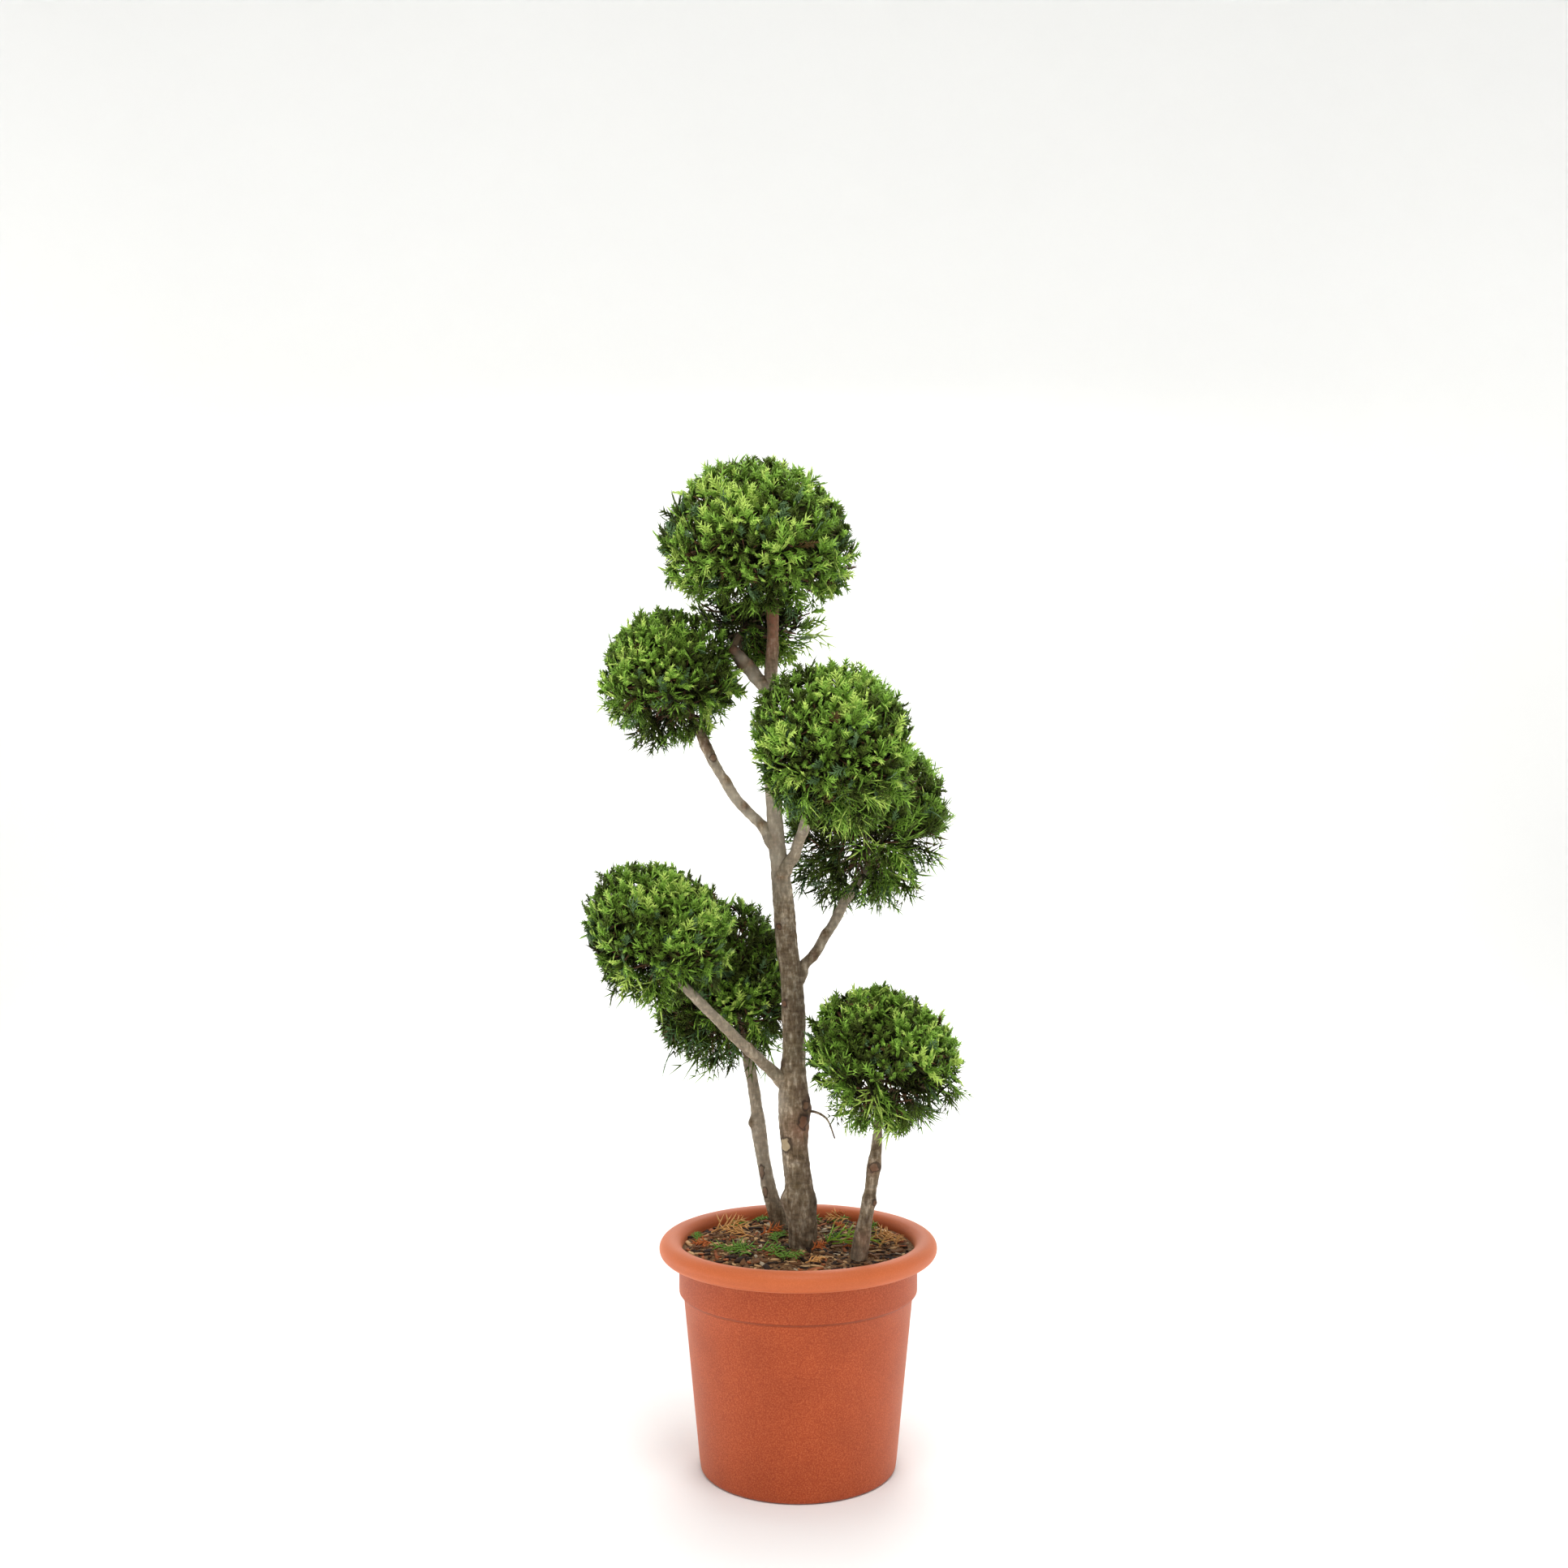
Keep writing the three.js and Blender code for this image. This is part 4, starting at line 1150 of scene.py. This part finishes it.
def pot_material():
    """Speckled plastic under faint dust, with painted light on the lip and painted shade in a line under
    the band.
    """
    material, tree, shader = new_material("polypropylene_terracotta_moulded", {
        "Roughness": 0.5, "IOR": 1.49, "Specular IOR Level": 0.25,
        "Sheen Weight": 0.5, "Sheen Tint": linear("#f0a27c"), "Sheen Roughness": 0.45,
    })
    place = node(tree, "ShaderNodeTexCoord").outputs["Object"]
    height = node(tree, "ShaderNodeSeparateXYZ", links={"Vector": place}).outputs["Z"]
    speckle, clouds = (
        node(tree, "ShaderNodeTexNoise", {"Scale": 1 / (size * MM), "Detail": detail},
             {"Vector": place}).outputs["Fac"]
        for size, detail in ((POT_SPECKLE, 2), (POT_CLOUD, 3))
    )
    lip_foot = POT_HEIGHT - LIP_DROP
    # on_lip marks the lip for painted light, and under_band a strip just under the band for painted shade.
    on_lip, under_band = (
        node(tree, "ShaderNodeMapRange", {"From Min": low * MM, "From Max": high * MM, "To Max": most},
             {"Value": height}).outputs["Result"]
        for low, high, most in ((lip_foot - 2, lip_foot + 6, 0.7), (BAND_FOOT - 12, BAND_FOOT + 4, 1))
    )
    base, dust, line = (
        node(tree, "ShaderNodeValToRGB", {"stops": stops}, {"Fac": source}).outputs["Color"]
        for source, stops in (
            (speckle, [(0.34, "#a3421e"), (0.5, "#b24d24"), (0.66, "#c25f35")]),
            (clouds, [(0.35, "#d8cdc8"), (0.65, "#ffffff")]),
            (under_band, [(0.45, "#ffffff"), (0.62, "#bfb0aa"), (0.76, "#bfb0aa"), (0.86, "#ffffff")]),
        )
    )
    dusty = node(tree, "ShaderNodeMix", {"data_type": "RGBA", "blend_type": "MULTIPLY", "Factor": 0.35},
                 {"A": base, "B": dust})
    # The lip is made paler: painted light.
    lip_painted_light = node(tree, "ShaderNodeMix", {"data_type": "RGBA", "B": linear("#cc6c3e")},
                    {"Factor": on_lip, "A": dusty.outputs["Result"]})
    # A dark line just under the band: painted shade.
    with_band_painted_shade = node(tree, "ShaderNodeMix", {"data_type": "RGBA", "blend_type": "MULTIPLY", "Factor": 1},
                 {"A": lip_painted_light.outputs["Result"], "B": line})
    bump = node(tree, "ShaderNodeBump", {"Strength": 0.25, "Distance": POT_GRAIN_DEPTH * MM},
                {"Height": speckle})
    tree.links.new(with_band_painted_shade.outputs["Result"], shader.inputs["Base Color"])
    tree.links.new(bump.outputs["Normal"], shader.inputs["Normal"])
    return material


def extruded_disc(name, rings, sides):
    """A round solid as by hand: a disc, extruded and scaled ring by ring. Each ring is radius, height."""
    (first_radius, first_height), *_ = rings
    deselect()
    bpy.ops.mesh.primitive_circle_add(
        vertices=sides, radius=first_radius * MM, fill_type="NGON", location=(0, 0, first_height * MM),
    )
    made = bpy.context.object
    made.name = name
    bpy.ops.object.transform_apply(location=True)
    bpy.ops.object.mode_set(mode="EDIT")
    bpy.ops.mesh.select_all(action="SELECT")
    for (radius, height), (next_radius, next_height) in zip(rings, rings[1:]):
        rise = (next_height - height) * MM
        share = next_radius / radius
        bpy.ops.mesh.extrude_region_move(TRANSFORM_OT_translate={"value": (0, 0, rise)})
        bpy.ops.transform.resize(value=(share, share, 1), center_override=(0, 0, next_height * MM))
    bpy.ops.mesh.select_all(action="SELECT")
    bpy.ops.mesh.normals_make_consistent(inside=False)
    bpy.ops.object.mode_set(mode="OBJECT")
    return made


def body_radius(height):
    """The radius of the pot's tapered body at a height."""
    return FOOT_RADIUS + (BAND_RADIUS - STEP_WIDTH - FOOT_RADIUS) * height / BAND_FOOT


def arc(centre, radii, first, last, steps):
    """Places along part of an ellipse."""
    angles = np.linspace(first, last, steps + 1)
    return [(centre[0] + radii[0] * math.cos(a), centre[1] + radii[1] * math.sin(a)) for a in angles]


def lip_curl(inset, steps):
    """The rolled lip, from under its edge over the top to the inner wall, at an inset from its face."""
    half_width = (LIP_RADIUS - INNER_RADIUS) / 2
    half_height = LIP_DROP / 2
    middle = (INNER_RADIUS + half_width, POT_HEIGHT - half_height)
    return arc(middle, (half_width - inset, half_height - inset), -math.pi * CURL_UNDER, math.pi, steps)


def pot_rings():
    """Radius and height of each ring, up the outside, round the lip and down the inside."""
    rounding = (FOOT_ROUNDING, FOOT_ROUNDING)
    foot = arc((FOOT_RADIUS - FOOT_ROUNDING, FOOT_ROUNDING), rounding, -math.pi / 2, 0, FOOT_STEPS)
    under_step = BAND_FOOT - STEP_HEIGHT
    wall = [(body_radius(z), z) for z in np.linspace(WALL_FOOT, under_step - 1.5, WALL_RINGS)]
    # The edges of the step are rounded by a millimetre or so.
    step = [
        (body_radius(under_step) + 0.6, under_step - 0.4), (BAND_RADIUS - 1.4, BAND_FOOT - 0.5),
        (BAND_RADIUS - 0.2, BAND_FOOT + 1.2), (BAND_RADIUS, BAND_FOOT + 4), (BAND_RADIUS, BAND_FOOT + 24),
    ]
    outer = lip_curl(0, LIP_STEPS)
    inner = lip_curl(WALL, INNER_LIP_STEPS)[::-1]
    inside = [
        (INNER_RADIUS, BAND_FOOT + 20), (INNER_RADIUS, BAND_FOOT),
        (body_radius(under_step) - WALL, BAND_FOOT - 2 * STEP_HEIGHT),
        (body_radius(FLOOR_THICKNESS) - WALL, FLOOR_THICKNESS),
    ]
    return foot + wall + step + inner + outer + inside


pot = extruded_disc("pot_plastic", pot_rings(), POT_SIDES)
bpy.ops.object.shade_smooth_by_angle(angle=math.radians(POT_CREASE))
pot.data.materials.append(pot_material())
finish_piece(pot, "pot_plastic", "pot")


# Potting soil: peat and composted bark, dark brown and damp, with no shine.
SOIL_CRUMB = 4
SOIL_GRAIN_DEPTH = 1.5
SOIL_SIDES = 160
SOIL_CREASE = 60
SOIL_TOP_RINGS = 62
SOIL_RING_STEP = 2
# Lumps of the soil: width, place in the noise, height.
SOIL_LUMPS = [(24, 3, 2.4), (9, 8, 1.6), (3.5, 5, 0.8)]


def soil_material():
    """Crumbs in browns from dark to straw."""
    material, tree, shader = new_material("potting_soil_peat_and_bark", {
        "Roughness": 0.95, "Specular IOR Level": 0.2,
    })
    place = node(tree, "ShaderNodeTexCoord").outputs["Object"]
    crumbs = node(
        tree, "ShaderNodeTexNoise", {"Scale": 1 / (SOIL_CRUMB * MM), "Detail": 5, "Roughness": 0.7},
        {"Vector": place},
    ).outputs["Fac"]
    stops = [(0.3, "#33231a"), (0.48, "#664a30"), (0.6, "#876544"), (0.78, "#ad8e69")]
    colour = node(tree, "ShaderNodeValToRGB", {"stops": stops}, {"Fac": crumbs})
    bump = node(tree, "ShaderNodeBump", {"Strength": 0.8, "Distance": SOIL_GRAIN_DEPTH * MM},
                {"Height": crumbs})
    tree.links.new(colour.outputs["Color"], shader.inputs["Base Color"])
    tree.links.new(bump.outputs["Normal"], shader.inputs["Normal"])
    return material


def soil_height(x, y):
    """The height of the soil: level in the middle, lower at its edge, and lumpy."""
    to_edge = max(0, (math.hypot(x, y) - SOIL_LEVEL_RADIUS) / (INNER_RADIUS - SOIL_LEVEL_RADIUS))
    lumps = sum(high * noise.noise((x / wide, y / wide, where)) for wide, where, high in SOIL_LUMPS)
    return SOIL_HEIGHT - SOIL_EDGE_DROP * to_edge + lumps


def make_soil():
    """The soil as by hand: a disc extruded up to the pot's rim, then inset ring by ring and made lumpy."""
    clear = WALL + 2 * GAP
    edge, edge_height = BAND_RADIUS - clear, SOIL_HEIGHT - SOIL_EDGE_DROP
    rings = [
        (body_radius(FLOOR_THICKNESS) - clear, FLOOR_THICKNESS + GAP),
        (body_radius(BAND_FOOT - STEP_HEIGHT) - clear, BAND_FOOT - 2 * STEP_HEIGHT),
        (edge, BAND_FOOT),
        (edge, edge_height),
    ]
    inset = np.linspace(edge - SOIL_RING_STEP, SOIL_RING_STEP, SOIL_TOP_RINGS)
    rings += [(radius, edge_height) for radius in inset]
    soil = extruded_disc("soil_surface", rings, SOIL_SIDES)
    for vertex in soil.data.vertices:
        x, y, z = vertex.co / MM
        if z > edge_height - 0.01 and math.hypot(x, y) < edge - 0.5:
            vertex.co.z = soil_height(x, y) * MM
    bpy.ops.object.shade_smooth_by_angle(angle=math.radians(SOIL_CREASE))
    soil.data.materials.append(soil_material())
    finish_piece(soil, "potting_soil", "soil")


make_soil()

# Litter on the soil: chips of composted bark, dry and damp.
CHIPS = plain_materials("bark_chip", [
    ("damp_dark", "#2b1a10", 0.9, 0.3),
    ("brown", "#6a4629", 0.9, 0.3),
    ("rust", "#9a5730", 0.85, 0.3),
    ("tan", "#c29a6b", 0.85, 0.3),
    ("grey_weathered", "#a8977f", 0.9, 0.3),
])
# Chances up to these give the first four colours, and the rest the last one.
CHIP_PICKS = (0.3, 0.7, 0.82, 0.95)
CHIP_COUNT = 1250
CHIP_SEED = 21
CHIP_EDGE = 143
CHIP_NUDGE = 5
# A chip's width is partly a share of its length, and it lies above the soil by a share of its thickness.
CHIP_SHORTEST = 4
CHIP_LENGTH_RANGE = 22
CHIP_LENGTH_POWER = 2.2
CHIP_NARROWEST = 1.6
CHIP_WIDTH_SHARE = 0.22
CHIP_WIDTH_RANGE = 0.4
CHIP_THINNEST = 0.8
CHIP_THICKNESS_RANGE = 1.4
CHIP_TILT = 0.5
CHIP_LEAN = 0.3
CHIP_LIFT = 0.3
# Corners of a chip, as shares of its length and width, and how much smaller its top is.
CHIP_SHAPE = [(-0.5, -0.3), (-0.3, 0.45), (0.3, 0.5), (0.5, 0.1), (0.35, -0.45)]
CHIP_TOP = 0.82
# Where the stems stand: x, y, radius.
STEM_FEET = [(5, -18, 19), (-24, 73, 13), (75, -75, 12.5)]
STEM_CLEARANCE = 2


def chip_places():
    """Which chips lie clear of the stems, and where, spread evenly over the soil."""
    index = np.arange(CHIP_COUNT)
    angle = index * GOLDEN_ANGLE + CHIP_SEED
    away = CHIP_EDGE * np.sqrt((index + 0.5) / CHIP_COUNT)
    x = away * np.cos(angle) + CHIP_NUDGE * (chance(CHIP_SEED, index + 11) - 0.5)
    y = away * np.sin(angle) + CHIP_NUDGE * (chance(CHIP_SEED, index + 911) - 0.5)
    free = np.ones(CHIP_COUNT, bool)
    for foot_x, foot_y, radius in STEM_FEET:
        free &= np.hypot(x - foot_x, y - foot_y) > radius + STEM_CLEARANCE
    return index[free], x[free], y[free]


def make_chips():
    """Chips are flat, tapered five-cornered splinters that lie at slight tilts."""
    index, x, y = chip_places()
    varied = draws(CHIP_SEED, index, CHIP_COUNT)
    length = CHIP_SHORTEST + CHIP_LENGTH_RANGE * varied(1) ** CHIP_LENGTH_POWER
    width = (CHIP_NARROWEST + CHIP_WIDTH_SHARE * length) * around(varied(2), CHIP_WIDTH_RANGE)
    thick = CHIP_THINNEST + CHIP_THICKNESS_RANGE * varied(3)
    turn = 2 * math.pi * varied(4)
    tilt = CHIP_TILT * (varied(5) - 0.5)
    along = np.stack([np.cos(turn) * np.cos(tilt), np.sin(turn) * np.cos(tilt), np.sin(tilt)], axis=1)
    lean_x, lean_y = CHIP_LEAN * (varied(6) - 0.5), CHIP_LEAN * (varied(7) - 0.5)
    across = unit(np.cross(along, np.stack([lean_x, lean_y, np.ones(len(index))], axis=1)))
    up = np.cross(across, along)
    height = np.array([soil_height(*place) for place in zip(x, y)])
    middle = np.stack([x, y, height + CHIP_LIFT * thick], axis=1)
    corners = np.stack([
        middle + along * (a * size * length)[:, None] + across * (b * size * width)[:, None]
        + up * (level * thick)[:, None]
        for level, size in ((-0.5, 1), (0.5, CHIP_TOP)) for a, b in CHIP_SHAPE
    ], axis=1)
    # The shape's corners run the other way round than a bar's, so each triangle is turned over.
    faces = prism_faces(len(CHIP_SHAPE))[:, [0, 2, 1]]
    vertices, triangles = stack(corners, faces)
    which = np.repeat(np.searchsorted(CHIP_PICKS, varied(8), side="right"), len(faces))
    finish_piece(joined_mesh("soil_bark_chips", vertices, triangles, which, CHIPS), "potting_soil")


make_chips()

# Clippings: fallen sprays on the soil, some still green, some dried to rust and straw.
CLIPPINGS = plain_materials("cypress_clipping", [
    ("green", "#6f953c", 0.6, 0.2),
    ("bright_green", "#93bd3c", 0.6, 0.2),
    ("straw", "#dca463", 0.75, 0.3),
    ("rust", "#c46b33", 0.75, 0.3),
])
CLIPPING_SEED = 31
# How wide a clipping's shoots are, and how it is lifted, rises, is propped up and curls.
CLIPPING_WIDTH = 3.2
CLIPPING_LIFT = 3
CLIPPING_LIFT_SHARE = 0.1
CLIPPING_RISE = 0.12
CLIPPING_RISE_RANGE = 0.3
CLIPPING_PROP = 0.7
CLIPPING_FACING = 0.65
CLIPPING_CURL = 0.1
CLIPPING_CURL_RANGE = 0.15
# Each row is a clipping: x, y, turn in degrees, length, colour.
CLIPPING_ROWS = [
    (-112, 34, 25, 56, 2), (-104, 60, 330, 55, 2), (-60, 20, 170, 55, 2), (-48, 26, 20, 36, 3),
    (-97, 73, 10, 36, 0), (-62, 112, 330, 30, 0), (-50, 124, 20, 34, 3), (-27, -6, 100, 46, 0),
    (-34, 14, 60, 36, 0), (40, 96, 30, 38, 0), (20, 106, 150, 30, 0), (28, -34, 20, 84, 1),
    (46, -20, 350, 67, 1), (36, -14, 60, 43, 0), (58, -26, 10, 29, 3), (-92, -52, 0, 46, 0),
    (-70, -60, 190, 46, 0), (-50, -56, 10, 41, 0), (-36, -68, 340, 41, 0), (-60, -70, 150, 36, 0),
    (40, 122, 0, 28, 3), (66, 106, 200, 36, 2), (98, 84, 240, 30, 3), (122, 14, 100, 46, 2),
    (104, -22, 70, 48, 2), (126, -10, 80, 41, 2), (98, 10, 40, 41, 2), (18, -46, 30, 26, 3),
    (-20, -80, 350, 34, 0), (10, -100, 20, 31, 2), (-110, -14, 215, 34, 3), (88, 46, 45, 31, 0),
    (-84, 100, 75, 34, 3), (0, 88, 5, 36, 0), (-132, 12, 90, 36, 0), (64, 60, 120, 36, 3),
]


def make_clippings():
    """Clippings lie nearly flat, each propped up on one side and facing a little to the camera."""
    x, y, degrees, length, colour = np.array(CLIPPING_ROWS, float).T
    index = np.arange(len(x))
    rise, form, curl, prop = (chance(CLIPPING_SEED + i, index) for i in range(4))
    turn = np.radians(degrees)
    upward = CLIPPING_RISE + CLIPPING_RISE_RANGE * rise
    growth = unit(np.stack([np.cos(turn), np.sin(turn), upward], axis=1))
    propped = CLIPPING_PROP * (prop - 0.5) - CLIPPING_FACING * np.cos(turn)
    height = np.array([soil_height(*place) for place in zip(x, y)])
    height = height + CLIPPING_LIFT + CLIPPING_LIFT_SHARE * length * np.abs(np.sin(propped))
    side, face = frames_along(growth, np.zeros(len(x)))
    vertices, triangles = stack(spray_corners({
        "feet": np.stack([x, y, height], axis=1), "growth": growth, "length": length,
        "roll": np.arctan2(-side[:, 2], face[:, 2]) + propped, "form": (DENSE_FORMS * form).astype(int),
        "curl": CLIPPING_CURL + CLIPPING_CURL_RANGE * curl, "width": np.full(len(x), CLIPPING_WIDTH),
    }), SHOOT_FACES)
    which = np.repeat(colour, SHOOTS_PER_SPRAY * len(SHOOT_FACES))
    finish_piece(joined_mesh("soil_clippings", vertices, triangles, which, CLIPPINGS), "foliage")


make_clippings()


# The studio, in metres: a floor that sweeps up behind the plant, soft round lights, and the camera.
FLOOR_SIZE = 12
FLOOR_DROP = 0.0005
BACKDROP_HEIGHT = 7
SWEEP_SIZE = 2.5
SWEEP_STEPS = 24
# Each light is its name, place, what it points at, diameter and power.
LIGHTS = [
    ("key_upper_left", (-1.8, -2.2, 1.8), (0, 0, 0.75), 1.0, 150),
    ("side_left", (-2.3, -0.1, 0.9), (0, 0, 0.4), 1.3, 190),
    ("side_right", (2.3, 0.1, 0.9), (0, 0, 0.5), 1.3, 75),
    ("front_fill", (0.7, -3.4, 1.0), (0, 0, 0.75), 1.8, 70),
    ("far_floor", (0, 3.4, 3.2), (0, 3.6, 0), 3.0, 100),
    ("top_front", (0.2, -1.3, 3.2), (0, 0, 0.5), 1.2, 60),
    ("top", (0.1, 0.3, 3.3), (0, 0, 0.6), 1.5, 32),
    ("backdrop_left", (-3.5, 2.6, 1.6), (-0.8, 6, 1.6), 2.0, 850),
    ("backdrop_right", (3.5, 2.6, 1.6), (0.8, 6, 1.6), 2.0, 850),
]
WORLD_STRENGTH = 0.62
# The photograph's camera: level, with a small shift for a horizon a little under mid-picture.
CAMERA_PLACE = (0, -2.05, 0.833)
CAMERA_VALUES = {
    "sensor_width": 36, "lens": 36.39, "shift_x": -0.00906, "shift_y": 0.0223, "clip_end": 60,
}


def make_floor():
    """A plain pale floor that sweeps up into a backdrop far behind the plant."""
    deselect()
    bpy.ops.mesh.primitive_plane_add(size=FLOOR_SIZE, location=(0, 0, -FLOOR_DROP))
    floor = bpy.context.object
    floor.name = "studio_floor"
    bpy.ops.object.transform_apply(location=True)
    bpy.ops.object.mode_set(mode="EDIT")
    bpy.ops.mesh.select_all(action="DESELECT")
    bpy.ops.object.mode_set(mode="OBJECT")
    for vertex in floor.data.vertices:
        vertex.select = vertex.co.y > 0
    for edge in floor.data.edges:
        edge.select = all(floor.data.vertices[i].select for i in edge.vertices)
    bpy.ops.object.mode_set(mode="EDIT")
    bpy.ops.mesh.extrude_region_move(TRANSFORM_OT_translate={"value": (0, 0, BACKDROP_HEIGHT)})
    bpy.ops.object.mode_set(mode="OBJECT")
    bend = floor.modifiers.new("sweep", "BEVEL")
    bend.width = SWEEP_SIZE
    bend.segments = SWEEP_STEPS
    bend.limit_method = "ANGLE"
    bpy.ops.object.modifier_apply(modifier="sweep")
    bpy.ops.object.shade_smooth()
    # Studio paper: uncoated, white and matt.
    floor.data.materials.append(new_material("studio_paper_white_matt", {
        "Base Color": linear("#f7f7f5"), "Roughness": 0.9, "Specular IOR Level": 0.1,
    })[0])


def add_light(name, place, aim, size, power):
    """A round soft light that points at a place."""
    light = bpy.data.lights.new(name, "AREA")
    light.shape = "DISK"
    light.size = size
    light.energy = power
    lamp = add_object(name, light)
    x, y, z = np.array(aim, float) - np.array(place, float)
    lamp.location = place
    lamp.rotation_euler = (math.atan2(math.hypot(x, y), -z), 0, math.atan2(x, -y))


def make_camera():
    """The scene's camera, with the values that were fitted to the photograph."""
    camera = bpy.data.cameras.new("photo_camera")
    for key, value in CAMERA_VALUES.items():
        setattr(camera, key, value)
    holder = add_object("photo_camera", camera)
    holder.location = CAMERA_PLACE
    holder.rotation_euler = (math.radians(90), 0, 0)
    bpy.context.scene.camera = holder


def make_world():
    """Even white light from all round."""
    world = bpy.data.worlds.new("studio_white")
    world.use_nodes = True
    set_values(world.node_tree.nodes["Background"], {"Color": (1, 1, 1, 1), "Strength": WORLD_STRENGTH})
    bpy.context.scene.world = world


make_floor()
for light_row in LIGHTS:
    add_light(*light_row)
make_camera()
make_world()
bpy.context.scene.view_settings.view_transform = "Standard"
